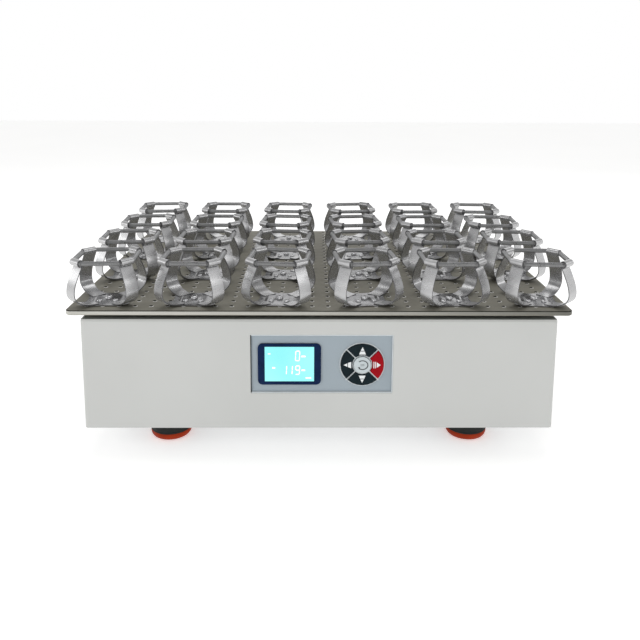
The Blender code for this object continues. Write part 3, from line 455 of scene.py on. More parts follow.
# ------------------------------------------------------------------ platform
def make_plate():
    """The plate as cells of the hole grid, each a square with a round hole, so every hole is cut through."""
    top, bottom = PLATE_TOP, PLATE_TOP - PLATE_T
    n = 16
    x_lo, y_lo = -(COLS * PITCH) / 2, -(ROWS * PITCH) / 2
    bm = bmesh.new()

    def ring(cx, cy, r, z):
        return [bm.verts.new((cx + r * math.cos(2 * math.pi * k / n), cy + r * math.sin(2 * math.pi * k / n), z)) for k in range(n)]

    grid = {}

    def corner(x, y, z):
        key = (round(x * 1e6), round(y * 1e6), round(z * 1e6))
        if key not in grid:
            grid[key] = bm.verts.new((x, y, z))
        return grid[key]

    half = PITCH / 2
    t = math.tan(math.radians(22.5)) * half
    square = [(half, 0), (half, t), (half, half), (t, half), (0, half), (-t, half), (-half, half), (-half, t),
              (-half, 0), (-half, -t), (-half, -half), (-t, -half), (0, -half), (t, -half), (half, -half), (half, -t)]
    for i in range(COLS):
        for j in range(ROWS):
            cx, cy = x_lo + PITCH * (i + 0.5), y_lo + PITCH * (j + 0.5)
            up = [corner(cx + x, cy + y, top) for x, y in square]
            dn = [corner(cx + x, cy + y, bottom) for x, y in square]
            # A fine rolled burr stands round each hole; its front and right carry a painted highlight.
            a = ring(cx, cy, HOLE_R + 0.85 * MM, top)
            l = ring(cx, cy, HOLE_R + 0.2 * MM, top + 0.3 * MM)
            b = ring(cx, cy, HOLE_R, top - 0.1 * MM)
            c = ring(cx, cy, HOLE_R, bottom)
            for k in range(n):
                m = (k + 1) % n
                # Front and right segments take the pale painted highlight.
                bright = k >= 10 or k < 2
                bm.faces.new((up[k], up[m], a[m], a[k]))
                f = bm.faces.new((a[k], a[m], l[m], l[k]))
                f.material_index = 1 if bright else 0
                # The inner slope is painted highlight at the front and painted shade elsewhere; the hole wall below is
                # painted shade.
                f = bm.faces.new((l[k], l[m], b[m], b[k]))
                f.material_index = 1 if k >= 14 or k < 2 else 3
                f = bm.faces.new((b[k], b[m], c[m], c[k]))
                f.material_index = 3
                bm.faces.new((c[k], c[m], dn[m], dn[k]))
    # The plain border, out to the eased outer edge.
    bx, by, rc, e = PLATE_X / 2, PLATE_Y / 2, 8 * MM, 0.9 * MM

    def outline(inset, z):
        pts = rounded(-bx + inset, bx - inset, -by + inset, by - inset, rc - inset, 6)
        return [bm.verts.new((x, y, z)) for x, y in pts]

    rim = [outline(e, top), outline(0, top - e), outline(0, bottom + e), outline(e, bottom)]
    m = len(rim[0])
    for s in range(3):
        for k in range(m):
            j = (k + 1) % m
            f = bm.faces.new((rim[s][k], rim[s][j], rim[s + 1][j], rim[s + 1][k]))
            # The top chamfer (s = 0) takes the near-black painted shade: a painted shadow line above the edge.
            f.material_index = (3, 2, 0)[s]
    for z, loop in ((top, rim[0]), (bottom, rim[3])):
        inner = []
        for i in range(COLS):
            for dx in (-half, -t, 0, t):
                inner.append((x_lo + PITCH * (i + 0.5) + dx, y_lo))
        for j in range(ROWS):
            for dy in (-half, -t, 0, t):
                inner.append((-x_lo, y_lo + PITCH * (j + 0.5) + dy))
        for i in reversed(range(COLS)):
            for dx in (half, t, 0, -t):
                inner.append((x_lo + PITCH * (i + 0.5) + dx, -y_lo))
        for j in reversed(range(ROWS)):
            for dy in (half, t, 0, -t):
                inner.append((x_lo, y_lo + PITCH * (j + 0.5) + dy))
        seen, ring_verts = set(), []
        for x, y in inner:
            v = corner(x, y, z)
            if v not in seen:
                seen.add(v)
                ring_verts.append(v)
        edges = []
        for verts in (ring_verts, loop):
            for k in range(len(verts)):
                a, b = verts[k], verts[(k + 1) % len(verts)]
                edges.append(bm.edges.get((a, b)) or bm.edges.new((a, b)))
        bmesh.ops.triangle_fill(bm, edges=edges, use_beauty=True, use_dissolve=False)
    bmesh.ops.recalc_face_normals(bm, faces=bm.faces)
    mesh = bpy.data.meshes.new("perforated_plate")
    bm.to_mesh(mesh)
    bm.free()
    for name in ("olive_plate", "hole_rim_highlight", "plate_edge", "painted_shade_black"):
        mesh.materials.append(MATS[name])
    plate = bpy.data.objects.new("perforated_plate", mesh)
    pieces.objects.link(plate)
    # Counterbored holes for the four fixing bolts.
    cutter = Build()
    for sx in (-1, 1):
        for sy in (-1, 1):
            cutter.add(
                *lathe([(0, top + 2 * MM), (5.1 * MM, top + 2 * MM), (5.1 * MM, top - 4 * MM), (3.5 * MM, top - 4 * MM),
                        (3.5 * MM, bottom - 2 * MM), (0, bottom - 2 * MM)], 32),
                matrix=Matrix.Translation((sx * BOLT_XY, sy * BOLT_XY, 0)),
            )
    cmesh = bpy.data.meshes.new("bolt_cut")
    cmesh.from_pydata(cutter.v, [], cutter.f)
    bm = bmesh.new()
    bm.from_mesh(cmesh)
    bmesh.ops.recalc_face_normals(bm, faces=bm.faces)
    bm.to_mesh(cmesh)
    bm.free()
    tool = bpy.data.objects.new("bolt_cut", cmesh)
    pieces.objects.link(tool)
    mod = plate.modifiers.new("bolts", "BOOLEAN")
    mod.object, mod.operation, mod.solver = tool, "DIFFERENCE", "EXACT"
    bpy.context.view_layer.update()
    done = bpy.data.meshes.new_from_object(plate.evaluated_get(bpy.context.evaluated_depsgraph_get()))
    plate.modifiers.clear()
    plate.data = done
    bpy.data.objects.remove(tool, do_unlink=True)
    done.shade_smooth()
    done.set_sharp_from_angle(angle=math.radians(28))
    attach(plate, "platform")
    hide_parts("platform_plate")

    # Fixing bolts: low socket heads sunk in the counterbores.
    top = PLATE_TOP - 0.4 * MM
    socket = 2.5 * MM
    profile = [(0, top - 2.2 * MM), (socket * 0.92, top - 2.0 * MM), (socket, top), (4.2 * MM, top), (4.7 * MM, top - 0.5 * MM),
               (4.7 * MM, PLATE_TOP - 3.7 * MM), (3.0 * MM, PLATE_TOP - 3.7 * MM), (3.0 * MM, 178.9 * MM), (0, 178.9 * MM)]
    verts, faces = lathe(profile, 36)
    shared = None
    for k, (sx, sy) in enumerate(((-1, -1), (1, -1), (1, 1), (-1, 1))):
        obj = piece(f"plate_screw_{k + 1}", verts, faces, ["black_oxide"], "platform", "black_oxide",
                    at=(sx * BOLT_XY, sy * BOLT_XY, 0), mesh=shared)
        shared = obj.data
        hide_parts(f"plate_bolt_{k + 1}")


# ------------------------------------------------------------------ flask clamps
def strip_mesh(b, turn, mat):
    """Two opposite arms of one bent strip: out of the bowl, up and in, and curled outwards into a tube."""
    t, w = 1.15 * MM, 18 * MM
    low = catmull([(20, 1.6), (26, 1.9), (33, 2.6), (40, 4.6), (46.5, 8.6), (50.6, 13.4), (52.1, 19.5), (51.2, 27),
                   (48.9, 34.5), (45.6, 42), (42.0, 49.3), (39.2, 54.0), (38.1, 57.1)], 4)
    curl = 3.95
    arc = [Vector((42 + curl * math.cos(math.radians(a)), 57.15 + curl * math.sin(math.radians(a))))
           for a in range(165, -86, -16)]
    path = [p * MM for p in low] + [p * MM for p in arc]
    # Cross-section: a flat strip with eased edges, wide along the tangent.
    e = 0.3 * MM
    section = [(-w / 2 + e, -t / 2), (w / 2 - e, -t / 2), (w / 2, -t / 2 + e), (w / 2, t / 2 - e),
               (w / 2 - e, t / 2), (-w / 2 + e, t / 2), (-w / 2, t / 2 - e), (-w / 2, -t / 2 + e)]
    n = len(section)
    for side in (0, 180):
        rot = Matrix.Rotation(math.radians(turn + side), 4, "Z")
        verts, faces = [], []
        for i, p in enumerate(path):
            a, c = path[max(i - 1, 0)], path[min(i + 1, len(path) - 1)]
            tangent = (c - a).normalized()
            normal = Vector((-tangent.y, tangent.x))
            for u, v in section:
                q = p + normal * v
                verts.append((q.x, u, q.y))
        flats, edges = [], [tuple(range(n))[::-1], tuple(range((len(path) - 1) * n, len(path) * n))]
        for i in range(len(path) - 1):
            for k in range(n):
                j = (k + 1) % n
                face = (i * n + k, i * n + j, (i + 1) * n + j, (i + 1) * n + k)
                (flats if k in (0, 4) else edges).append(face)
        b.add(verts, flats + edges, mat, rot)
        # The narrow sides and end caps take the darker steel: painted shade.
        b.m[-len(edges):] = [2] * len(edges)


def bowl_mesh(b, mat):
    """The pressed middle of the clamp: a cross with hollow sides that lies on the plate and rises into the arms."""
    steps, t = 20, 1.2 * MM
    rows = []
    for j in range(steps + 1):
        v = -1 + 2 * j / steps
        row = []
        for i in range(steps + 1):
            u = -1 + 2 * i / steps
            # A square with hollow sides; its corners rise and run into the arms.
            x = 31 * u * (1 - 0.17 * (1 - v * v) ** 1.5)
            y = 31 * v * (1 - 0.17 * (1 - u * u) ** 1.5)
            uv = abs(u * v)
            z = 1.15 + 5.2 * uv ** 2.8
            # Pressed flutes between the screws and the sides.
            z += 0.55 * math.cos(u * 6.3) * math.cos(v * 3.2) * (1 - u * u) * (1 - v * v)
            z += 1.5 * math.exp(-(((abs(u) - 0.62) / 0.2) ** 2)) * (1 - v * v) ** 1.5 * (1 - u * u)
            row.append((x * MM, y * MM, z * MM))
        rows.append(row)
    n = steps + 1
    verts = [p for row in rows for p in row]
    under = [(x, y, z - t) for x, y, z in verts]
    k = len(verts)
    verts += [(x, y, max(z, 0.05 * MM)) for x, y, z in under]
    faces = []
    for j in range(steps):
        for i in range(steps):
            a = j * n + i
            faces.append((a, a + 1, a + n + 1, a + n))
            faces.append((k + a, k + a + n, k + a + n + 1, k + a + 1))
    rim = [i for i in range(n)] + [j * n + steps for j in range(1, n)] + [steps * n + i for i in reversed(range(steps))] + [
        j * n for j in reversed(range(1, steps))]
    for i in range(len(rim)):
        a, c = rim[i], rim[(i + 1) % len(rim)]
        faces.append((a, k + a, k + c, c))
    b.add(verts, faces, mat)


def spring_mesh():
    """One closed coil spring that runs through the four tubes and straight from each to the next."""
    half = 9 * MM
    centre = []
    for k in range(4):
        a = math.radians(45 + 90 * k)
        mid = Vector((TUBE_R * math.cos(a), TUBE_R * math.sin(a)))
        along = Vector((-math.sin(a), math.cos(a)))
        centre += [mid - along * half, mid + along * half]
    # Sample the closed path with its corners eased.
    dense = []
    for i in range(len(centre)):
        a, c = centre[i], centre[(i + 1) % len(centre)]
        length = (c - a).length
        steps = max(2, int(length / (0.5 * MM)))
        dense += [a + (c - a) * (s / steps) for s in range(steps)]
    for _ in range(12):
        dense = [(dense[i - 1] + dense[i] * 2 + dense[(i + 1) % len(dense)]) / 4 for i in range(len(dense))]
    lengths = [0.0]
    for i in range(len(dense)):
        lengths.append(lengths[-1] + (dense[(i + 1) % len(dense)] - dense[i]).length)
    total = lengths[-1]
    pitch, per = 1.28 * MM, 8
    turns = int(total / pitch)
    count = turns * per
    coil, wire, sides = 2.6 * MM, 0.56 * MM, 4
    verts, faces = [], []
    j = 0
    ring_points = []
    for s in range(count):
        d = total * s / count
        while lengths[j + 1] < d:
            j += 1
        f = (d - lengths[j]) / (lengths[j + 1] - lengths[j])
        p = dense[j % len(dense)].lerp(dense[(j + 1) % len(dense)], f)
        tangent = (dense[(j + 1) % len(dense)] - dense[j % len(dense)]).normalized()
        out = Vector((tangent.y, -tangent.x, 0))
        up = Vector((0, 0, 1))
        phase = 2 * math.pi * s / per
        radial = out * math.cos(phase) + up * math.sin(phase)
        ring_points.append((Vector((p.x, p.y, TUBE_Z)) + radial * coil, radial, Vector((tangent.x, tangent.y, 0))))
    for c, radial, tangent in ring_points:
        for q in range(sides):
            a = 2 * math.pi * q / sides
            verts.append(c + radial * (wire * math.cos(a)) + tangent * (wire * math.sin(a)))
    for s in range(count):
        m = (s + 1) % count
        for q in range(sides):
            r = (q + 1) % sides
            faces.append((s * sides + q, s * sides + r, m * sides + r, m * sides + q))
    return verts, faces


def pan_head(radius, height, socket=0.0, steps=24):
    profile = []
    if socket:
        profile += [(0, height * 0.45), (socket * 0.9, height * 0.45), (socket, height)]
    else:
        profile += [(0, height)]
    profile += [(radius * 0.62, height * 0.98), (radius * 0.88, height * 0.78), (radius, height * 0.45), (radius, 0), (0, 0)]
    return lathe(profile, steps)


def make_clamps():
    body = Build()
    strip_mesh(body, 45, 0)
    strip_mesh(body, 135, 0)
    bowl_mesh(body, 1)
    spring_verts, spring_faces = spring_mesh()
    screws = Build()
    for x, y, r, h in ((0, 1.5, 4.4, 3.2), (-9.5, -8.5, 3.3, 2.4), (10.5, -8.5, 3.3, 2.4)):
        z = 1.3 + 0.5 * math.cos(x / 26 * 6.3) * math.cos(y / 26 * 3.2)
        screws.add(*pan_head(r * MM, h * MM, 0.42 * r * MM), matrix=Matrix.Translation((x * MM, y * MM, z * MM)))
    shared = [None, None, None]
    for j, cy in enumerate(CLAMP_Y):
        for i, cx in enumerate(CLAMP_X):
            tag = f"r{j + 1}c{i + 1}"
            at, turn = (cx, cy, CLAMP_Z), math.radians(CLAMP_TURN[i])
            a = piece(f"clamp_body_{tag}", body.v, body.f, ["stainless", "bowl_steel_shaded", "strip_side_shade"], "platform", "stainless",
                      face_mats=body.m, sharp=40, at=at, turn=turn, mesh=shared[0])
            s = piece(f"clamp_spring_{tag}", spring_verts, spring_faces, ["spring_steel"], "platform", "spring_steel",
                      sharp=180, at=at, turn=turn, mesh=shared[1])
            h = piece(f"clamp_screws_{tag}", screws.v, screws.f, ["screw_steel"], "platform", "stainless",
                      sharp=40, at=at, turn=turn, mesh=shared[2])
            shared = [a.data, s.data, h.data]
            for obj in (a, s, h):
                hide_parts(f"flask_clamp_{tag}")


# ------------------------------------------------------------------ display and keys
def segment_digit(which, x, z, w, h, lean, thick):
    """The bars of a seven-segment digit, as (x, z) outlines. Its lower left corner is at (x, z)."""
    on = {"0": "abcdef", "1": "bc", "9": "abcdfg"}[which]
    if which == "1":
        x -= 2.1 * MM
    g = thick * 0.18
    half = thick / 2

    def bar(x0, z0, x1, z1):
        d = Vector((x1 - x0, z1 - z0))
        length = d.length
        d.normalize()
        s = Vector((-d.y, d.x))
        a, b = Vector((x0, z0)) + d * g, Vector((x0, z0)) + d * (length - g)
        pts = [a, a + d * half + s * half, b - d * half + s * half, b, b - d * half - s * half, a + d * half - s * half]
        return [(x + p.x + lean * p.y, z + p.y) for p in pts]

    where = {
        "a": (0, h, w, h), "b": (w, h, w, h / 2), "c": (w, h / 2, w, 0), "d": (w, 0, 0, 0),
        "e": (0, 0, 0, h / 2), "f": (0, h / 2, 0, h), "g": (0, h / 2, w, h / 2),
    }
    return [bar(*where[s]) for s in on]


def make_display():
    front = -222.0 * MM
    # Frame: a rounded ring with an eased front edge and a window.
    outer = rounded(SCREEN_X - BEZEL_W / 2, SCREEN_X + BEZEL_W / 2, SCREEN_Z - BEZEL_H / 2, SCREEN_Z + BEZEL_H / 2, 6 * MM, 8)
    m = len(outer)
    wx, wz = LIT_W / 2 + 0.1 * MM, LIT_H / 2 + 0.1 * MM

    def ring(kind, inset, y):
        if kind == "outer":
            pts = rounded(SCREEN_X - BEZEL_W / 2 + inset, SCREEN_X + BEZEL_W / 2 - inset,
                          SCREEN_Z - BEZEL_H / 2 + inset, SCREEN_Z + BEZEL_H / 2 - inset, 6 * MM - inset, 8)
        else:
            pts = rounded(SCREEN_X - wx - inset, SCREEN_X + wx + inset, SCREEN_Z - wz - inset, SCREEN_Z + wz + inset, 0.8 * MM, 8)
        return [(x, y, z) for x, z in pts]

    rings = [ring("outer", 0, -220.3 * MM), ring("outer", 0, front + 0.5 * MM), ring("outer", 0.15 * MM, front + 0.15 * MM),
             ring("outer", 0.5 * MM, front), ring("inner", 0.35 * MM, front), ring("inner", 0.0, front + 0.35 * MM),
             ring("inner", 0.0, -220.3 * MM)]
    verts = [p for r in rings for p in r]
    faces = []
    for s in range(len(rings)):
        q = (s + 1) % len(rings)
        for k in range(m):
            j = (k + 1) % m
            faces.append((s * m + k, s * m + j, q * m + j, q * m + k))
    frame_piece = piece("display_frame", verts, faces, ["display_frame"], "base", "display_frame", sharp=30)
    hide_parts("display_module")
    # The lit window, a slightly domed sheet on the display's body.
    steps = 12
    verts, faces = [], []
    lx, lz = LIT_W / 2 - 0.15 * MM, LIT_H / 2 - 0.15 * MM
    for j in range(steps + 1):
        for i in range(steps + 1):
            u, v = -1 + 2 * i / steps, -1 + 2 * j / steps
            y = -221.35 * MM - 0.12 * MM * (1 - u * u) * (1 - v * v)
            verts.append((SCREEN_X + lx * u, y, SCREEN_Z + lz * v))
    n = steps + 1
    back = len(verts)
    verts += [(SCREEN_X + sx * lx, -211.5 * MM, SCREEN_Z + sz * lz) for sx, sz in ((-1, -1), (1, -1), (1, 1), (-1, 1))]
    for j in range(steps):
        for i in range(steps):
            a = j * n + i
            faces.append((a, a + 1, a + n + 1, a + n))
    faces.append((back, back + 3, back + 2, back + 1))
    faces.append(tuple(range(steps, -1, -1)) + (back, back + 1))
    faces.append(tuple(j * n + steps for j in range(steps, -1, -1)) + (back + 1, back + 2))
    faces.append(tuple(steps * n + i for i in range(steps + 1)) + (back + 2, back + 3))
    faces.append(tuple(j * n for j in range(steps + 1)) + (back + 3, back))
    lit = piece("display_window", verts, faces, ["screen"], "base", "screen", sharp=30)
    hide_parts("display_module")
    # Digits and small marks, a hair proud of the window.
    marks = Build()
    y0, y1 = -221.62 * MM, -221.3 * MM
    left, top = SCREEN_X - LIT_W / 2, SCREEN_Z + LIT_H / 2
    w, thick = 6.6 * MM, 1.2 * MM

    def put(text, right, base, h):
        x = right
        for ch in reversed(text):
            x -= w
            for bar in segment_digit(ch, x, base, w - 1.6 * MM, h, 0.05, thick):
                marks.add(*prism(bar, y0, y1))
            x -= 0.5 * MM

    put("0", left + 44.9 * MM, top - 18.0 * MM, 12.6 * MM)
    put("119", left + 44.9 * MM, top - 36.0 * MM, 11.2 * MM)
    small = [
        (left + 45.6 * MM, top - 13.4 * MM, 5.4 * MM, 2.0 * MM),
        (left + 46.0 * MM, top - 31.6 * MM, 4.6 * MM, 2.0 * MM),
        (left + 9.4 * MM, top - 28.4 * MM, 3.8 * MM, 1.9 * MM),
        (left + 4.0 * MM, top - 9.6 * MM, 3.4 * MM, 1.0 * MM),
        (left + 51.0 * MM, top - 41.4 * MM, 7.2 * MM, 1.5 * MM),
    ]
    for x, z, dx, dz in small:
        marks.add(*prism(rounded(x, x + dx, z, z + dz, 0.3 * MM, 2), y0, y1))
    piece("display_marks", marks.v, marks.f, ["screen_digit"], "base", "screen", sharp=30)


def key_mark(name, outlines, body, mat="marking_white", slot="marking_white", front=KEY_FRONT):
    b = Build()
    for o in outlines:
        b.add(*prism(o, front - 0.09 * MM, front + 0.02 * MM))
    return piece(name, b.v, b.f, [mat], body, slot, sharp=30)


def make_key_marks():
    def place(points, turn):
        c, s = math.cos(turn), math.sin(turn)
        return [(PAD_X + (x * c - z * s) * MM, PAD_Z + (x * s + z * c) * MM) for x, z in points]

    # Drawn pointing to +X: a small triangle over a trapezoid, then turned to each side.
    def arrow(turn):
        tip = [(23.5, 0), (18.8, -2.3), (18.8, 2.3)]
        base = [(17.9, -2.7), (17.9, 2.7), (13.9, 4.2), (13.9, -4.2)]
        return [place(tip, turn), place(base, turn)]

    for name, turn, body in (("up", 90, "button_up"), ("down", 270, "button_down"), ("left", 180, "button_left")):
        shapes = arrow(math.radians(turn))
        key_mark(f"mark_{name}", shapes, body)
    shapes = [
        place([(22.9, 0), (18.0, -3.6), (18.0, 3.6)], 0),
        place([(16.9, -4.2), (16.9, 4.2), (15.9, 4.2), (15.9, -4.2)], 0),
        place([(14.9, -4.2), (14.9, 4.2), (13.9, 4.2), (13.9, -4.2)], 0),
    ]
    key_mark("mark_start_stop", shapes, "button_start_stop")
    # The return arrow on the middle key.
    front = KEY_FRONT - 0.3 * MM
    hook = []
    r0, r1 = 6.0, 7.2
    angles = [math.radians(a) for a in range(-132, 133, 8)]
    outer = [(r1 * math.cos(a) + 0.3, r1 * math.sin(a) * 0.88) for a in angles]
    inner = [(r0 * math.cos(a) + 0.3, r0 * math.sin(a) * 0.86) for a in reversed(angles)]
    b = Build()
    half = len(angles)
    for k in range(half - 1):
        quad = [outer[k], outer[k + 1], inner[half - 2 - k], inner[half - 1 - k]]
        b.add(*prism([(PAD_X + x * MM, PAD_Z + z * MM) for x, z in quad], front - 0.09 * MM, front + 0.02 * MM))
    tx, tz = 0.3 + 6.6 * math.cos(math.radians(-132)), 6.6 * math.sin(math.radians(-132)) * 0.87
    head = [(tx - 1.5, tz + 1.5), (tx + 0.9, tz - 1.4), (tx + 1.3, tz + 1.6)]
    b.add(*prism([(PAD_X + x * MM, PAD_Z + z * MM) for x, z in head], front - 0.09 * MM, front + 0.02 * MM))
    for k in range(3):
        x0 = -2.2 + 1.7 * k
        for z0 in (-1.1, 0.5):
            bar = [(x0, z0), (x0 + 1.1, z0), (x0 + 1.1, z0 + 0.6), (x0, z0 + 0.6)]
            b.add(*prism([(PAD_X + x * MM, PAD_Z + z * MM) for x, z in bar], front - 0.09 * MM, front + 0.02 * MM))
    piece("mark_set", b.v, b.f, ["marking_dark"], "button_set", "key_dark", sharp=30)

    # The thin pale ring round the keypad, on the panel.
    ring = lathe([(PAD_R + 0.55 * MM, 0.0), (PAD_R + 0.55 * MM, 0.35 * MM), (PAD_R + 1.45 * MM, 0.35 * MM), (PAD_R + 1.75 * MM, 0.0)], 72)
    mat = Matrix.Translation((PAD_X, -219.88 * MM, PAD_Z)) @ Matrix.Rotation(math.pi / 2, 4, "X")
    b = Build().add(*ring, matrix=mat)
    piece("keypad_ring", b.v, b.f, ["pale_trim"], "base", "key_silver", sharp=30)


def make_panel_trim():
    """The thin frame in the case's opening round the panel: three pale sides, and on the left a dark bar that is a
    painted shadow.
    """
    y0, y1 = CASE_FRONT + 0.25 * MM, CASE_FRONT + 2.02 * MM
    x0, x1, z0, z1 = PANEL_X0 + 0.05 * MM, PANEL_X1 - 0.05 * MM, PANEL_Z0 + 0.05 * MM, PANEL_Z1 - 0.05 * MM
    w = 1.5 * MM
    bars = {
        "panel_trim_right": ([(x1 - w, z0 + w), (x1, z0), (x1, z1), (x1 - w, z1 - w)], "pale_trim"),
        "panel_trim_top": ([(x0 + w, z1 - w), (x1 - w, z1 - w), (x1, z1), (x0, z1)], "pale_trim"),
        "panel_trim_bottom": ([(x0, z0), (x1, z0), (x1 - w, z0 + w), (x0 + w, z0 + w)], "pale_trim"),
        "panel_trim_left": ([(x0, z0), (x0 + 1.2 * MM, z0 + 1.2 * MM), (x0 + 1.2 * MM, z1 - 1.2 * MM), (x0, z1)], "trim_painted_shadow"),
    }
    for name, (outline, mat) in bars.items():
        verts, faces = prism(outline, y0, y1, 0.25 * MM)
        piece(name, verts, faces, [mat], "base", "panel_grey_blue", sharp=30)


# ------------------------------------------------------------------ feet
def make_feet():
    cup = [(0, 42.6 * MM), (3.9 * MM, 42.6 * MM), (3.9 * MM, 33.6 * MM), (20.6 * MM, 33.6 * MM), (21.8 * MM, 33.0 * MM), (26.3 * MM, 25.2 * MM),
           (27.0 * MM, 23.6 * MM), (27.0 * MM, 13.4 * MM), (26.6 * MM, 12.9 * MM), (26.6 * MM, 12.3 * MM), (27.0 * MM, 11.8 * MM),
           (27.0 * MM, 10.2 * MM), (26.6 * MM, 9.7 * MM), (22 * MM, 9.7 * MM), (22 * MM, 11 * MM), (0, 11 * MM)]
    sole = [(0, 10.7 * MM), (21.7 * MM, 10.7 * MM), (21.7 * MM, 9.5 * MM), (26.4 * MM, 9.5 * MM), (26.8 * MM, 9.0 * MM), (26.8 * MM, 6.2 * MM),
            (26.0 * MM, 3.6 * MM), (24.4 * MM, 1.5 * MM), (22.2 * MM, 0.35 * MM), (20 * MM, 0.0), (15 * MM, 0.0), (14 * MM, 1.2 * MM), (0, 1.2 * MM)]
    cup_shape, sole_shape = lathe(cup, 64), lathe(sole, 64)
    a = b = None
    for name, (x, y) in FEET.items():
        one = piece(name + "_cup", *cup_shape, ["foot_rubber"], "base", "foot_rubber", at=(x, y, 0), sharp=35, mesh=a)
        two = piece(name + "_sole", *sole_shape, ["foot_sole"], "base", "foot_sole", at=(x, y, 0), sharp=50, mesh=b)
        a, b = one.data, two.data
        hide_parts(name)
        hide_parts(name)


# ------------------------------------------------------------------ case screws and inlet screws
def make_small_parts():
    shape = pan_head(3.6 * MM, 1.7 * MM, 1.4 * MM, 28)
    mesh = None
    spots = []
    for x in (-260, -90, 90, 260):
        spots.append(((x * MM, CASE_BACK + 0.05 * MM, 41 * MM), Matrix.Rotation(-math.pi / 2, 4, "X")))
    for x in (-283, 283):
        for z in (60, 150):
            spots.append(((x * MM, CASE_BACK + 0.05 * MM, z * MM), Matrix.Rotation(-math.pi / 2, 4, "X")))
    for side in (-1, 1):
        for y in (-180, -10, 160):
            spots.append(((side * 296.05 * MM, y * MM, 41 * MM), Matrix.Rotation(side * math.pi / 2, 4, "Y")))
    verts, faces = shape
    for k, (at, turn) in enumerate(spots):
        b = Build().add(verts, faces, matrix=Matrix.Translation(at) @ turn)
        piece(f"case_screw_{k + 1}", b.v, b.f, ["screw_steel"], "base", "stainless", sharp=40)
    # Flange screws of the mains inlet.
    for k, (x, z) in enumerate(((205 - 29.6, 88 + 13.4), (205 + 29.6, 88 - 13.4))):
        b = Build().add(*pan_head(1.9 * MM, 1.0 * MM, 0.7 * MM, 20),
                        matrix=Matrix.Translation((x * MM, 204.75 * MM, z * MM)) @ Matrix.Rotation(-math.pi / 2, 4, "X"))
        piece(f"inlet_screw_{k + 1}", b.v, b.f, ["black_oxide"], "base", "black_oxide", sharp=40)


# ------------------------------------------------------------------ CAD nodes that stay
KEEP = {
    "case_shell": "case_paint", "base_pan": "galvanised", "chassis_plate": "galvanised", "main_bearing": "bearing_steel",
    "motor": "motor_black", "drive_belt": "belt_rubber", "control_panel": "panel_grey_blue", "control_board": "circuit_board",
    "power_supply": "galvanised", "power_inlet": "black_plastic", "main_spindle": "bearing_steel",
    "driven_pulley": "aluminium", "counterweight": "cast_iron", "carriage_frame": "aluminium",
    "crank_bearing": "bearing_steel", "motor_pulley": "aluminium", "power_rocker": "rocker_plastic",
    "key_set": "key_silver", "key_start_stop": "key_red", "key_up": "key_dark", "key_down": "key_dark", "key_left": "key_dark",
    "idler_crank_1": "bearing_steel", "idler_crank_2": "bearing_steel", "idler_crank_3": "bearing_steel",
    "idler_crank_4": "bearing_steel",
}


def dress_cad():
    for node, mat in KEEP.items():
        obj = bpy.data.objects[node]
        if not obj.material_slots:
            obj.data.materials.append(MATS[mat])
        for slot in obj.material_slots:
            slot.material = MATS[mat]


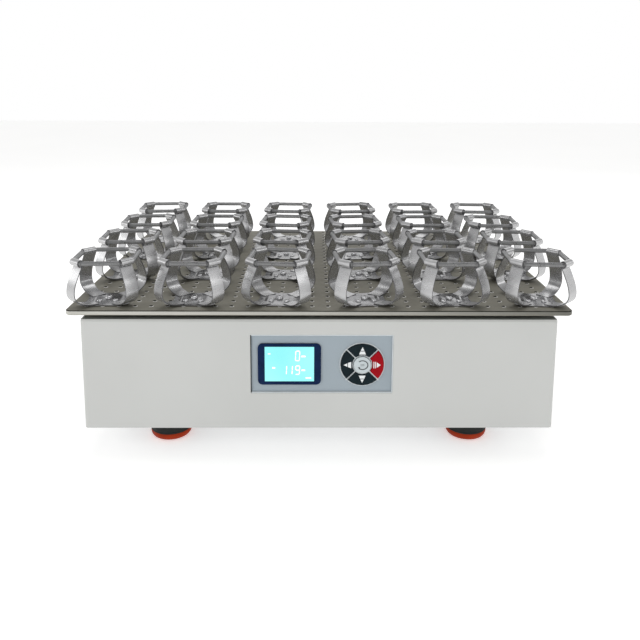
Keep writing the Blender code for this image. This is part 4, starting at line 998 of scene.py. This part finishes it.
# ------------------------------------------------------------------ floor, light and camera
def make_studio():
    steps = 24
    size = 14.0
    verts, faces = [], []
    for j in range(steps + 1):
        for i in range(steps + 1):
            verts.append((size * (i / steps - 0.5), size * (j / steps - 0.5), -0.0002))
    for j in range(steps):
        for i in range(steps):
            a = j * (steps + 1) + i
            faces.append((a, a + 1, a + steps + 2, a + steps + 1))
    mesh = bpy.data.meshes.new("floor")
    mesh.from_pydata(verts, [], faces)
    mesh.materials.append(MATS["studio_floor"])
    floor = bpy.data.objects.new("floor", mesh)
    scene.collection.objects.link(floor)

    world = bpy.data.worlds.new("studio")
    scene.world = world
    world.use_nodes = True
    tree = world.node_tree
    background = tree.nodes["Background"]
    # White all round, falling off to grey overhead, as under a tented studio set.
    where = tree.nodes.new("ShaderNodeTexCoord")
    split = tree.nodes.new("ShaderNodeSeparateXYZ")
    tree.links.new(where.outputs["Generated"], split.inputs[0])
    ramp = tree.nodes.new("ShaderNodeValToRGB")
    for place, value in ((0.30, 1.0), (0.44, 0.72), (0.70, 0.42)):
        element = ramp.color_ramp.elements.new(place)
        element.color = (value, value, value, 1.0)
    ramp.color_ramp.elements[0].color = (1.0, 1.0, 1.0, 1.0)
    ramp.color_ramp.elements[-1].color = (0.36, 0.36, 0.36, 1.0)
    tree.links.new(split.outputs[2], ramp.inputs["Fac"])
    tree.links.new(ramp.outputs["Color"], background.inputs["Color"])
    background.inputs["Strength"].default_value = 1.0

    def area(name, at, aim, size_x, size_y, power):
        data = bpy.data.lights.new(name, "AREA")
        data.shape = "RECTANGLE"
        data.size, data.size_y = size_x, size_y
        data.energy = power
        obj = bpy.data.objects.new(name, data)
        scene.collection.objects.link(obj)
        obj.location = at
        obj.rotation_euler = (Vector(aim) - Vector(at)).to_track_quat("-Z", "Y").to_euler()
        return obj

    area("key", (-1.25, -1.2, 1.0), (-0.1, -0.2, 0.12), 0.7, 0.6, 3.6)
    area("left_strip", (-1.7, 0.15, 0.50), (0, 0, 0.2), 1.3, 0.16, 1.5)
    area("right_strip", (1.6, -0.35, 0.86), (0, -0.1, 0.2), 1.2, 0.2, 1.5)
    area("top", (0, 0.3, 2.4), (0, 0, 0), 1.8, 1.0, 13)
    area("rear", (0.3, 2.2, 1.3), (0, 0, 0.15), 1.8, 0.8, 3)

    camera = bpy.data.cameras.new("camera")
    camera.lens = 38.757
    camera.sensor_width = 36.0
    camera.sensor_fit = "HORIZONTAL"
    camera.shift_y = -0.199
    camera.clip_start, camera.clip_end = 0.05, 50.0
    obj = bpy.data.objects.new("camera", camera)
    scene.collection.objects.link(obj)
    turn = Matrix.Rotation(math.radians(-0.657), 4, "Z") @ Matrix.Rotation(math.radians(90 - 9.188), 4, "X")
    obj.matrix_world = Matrix.Translation((-0.0101, -1.0362, 0.4674)) @ turn @ Matrix.Rotation(math.radians(0.3), 4, "Z")
    scene.camera = obj
    scene.view_settings.view_transform = "Standard"
    scene.view_settings.look = "None"
    scene.view_settings.exposure = 0.0


make_materials()
make_plate()
make_clamps()
make_display()
make_key_marks()
make_panel_trim()
make_feet()
make_small_parts()
dress_cad()
make_studio()
bpy.context.view_layer.update()
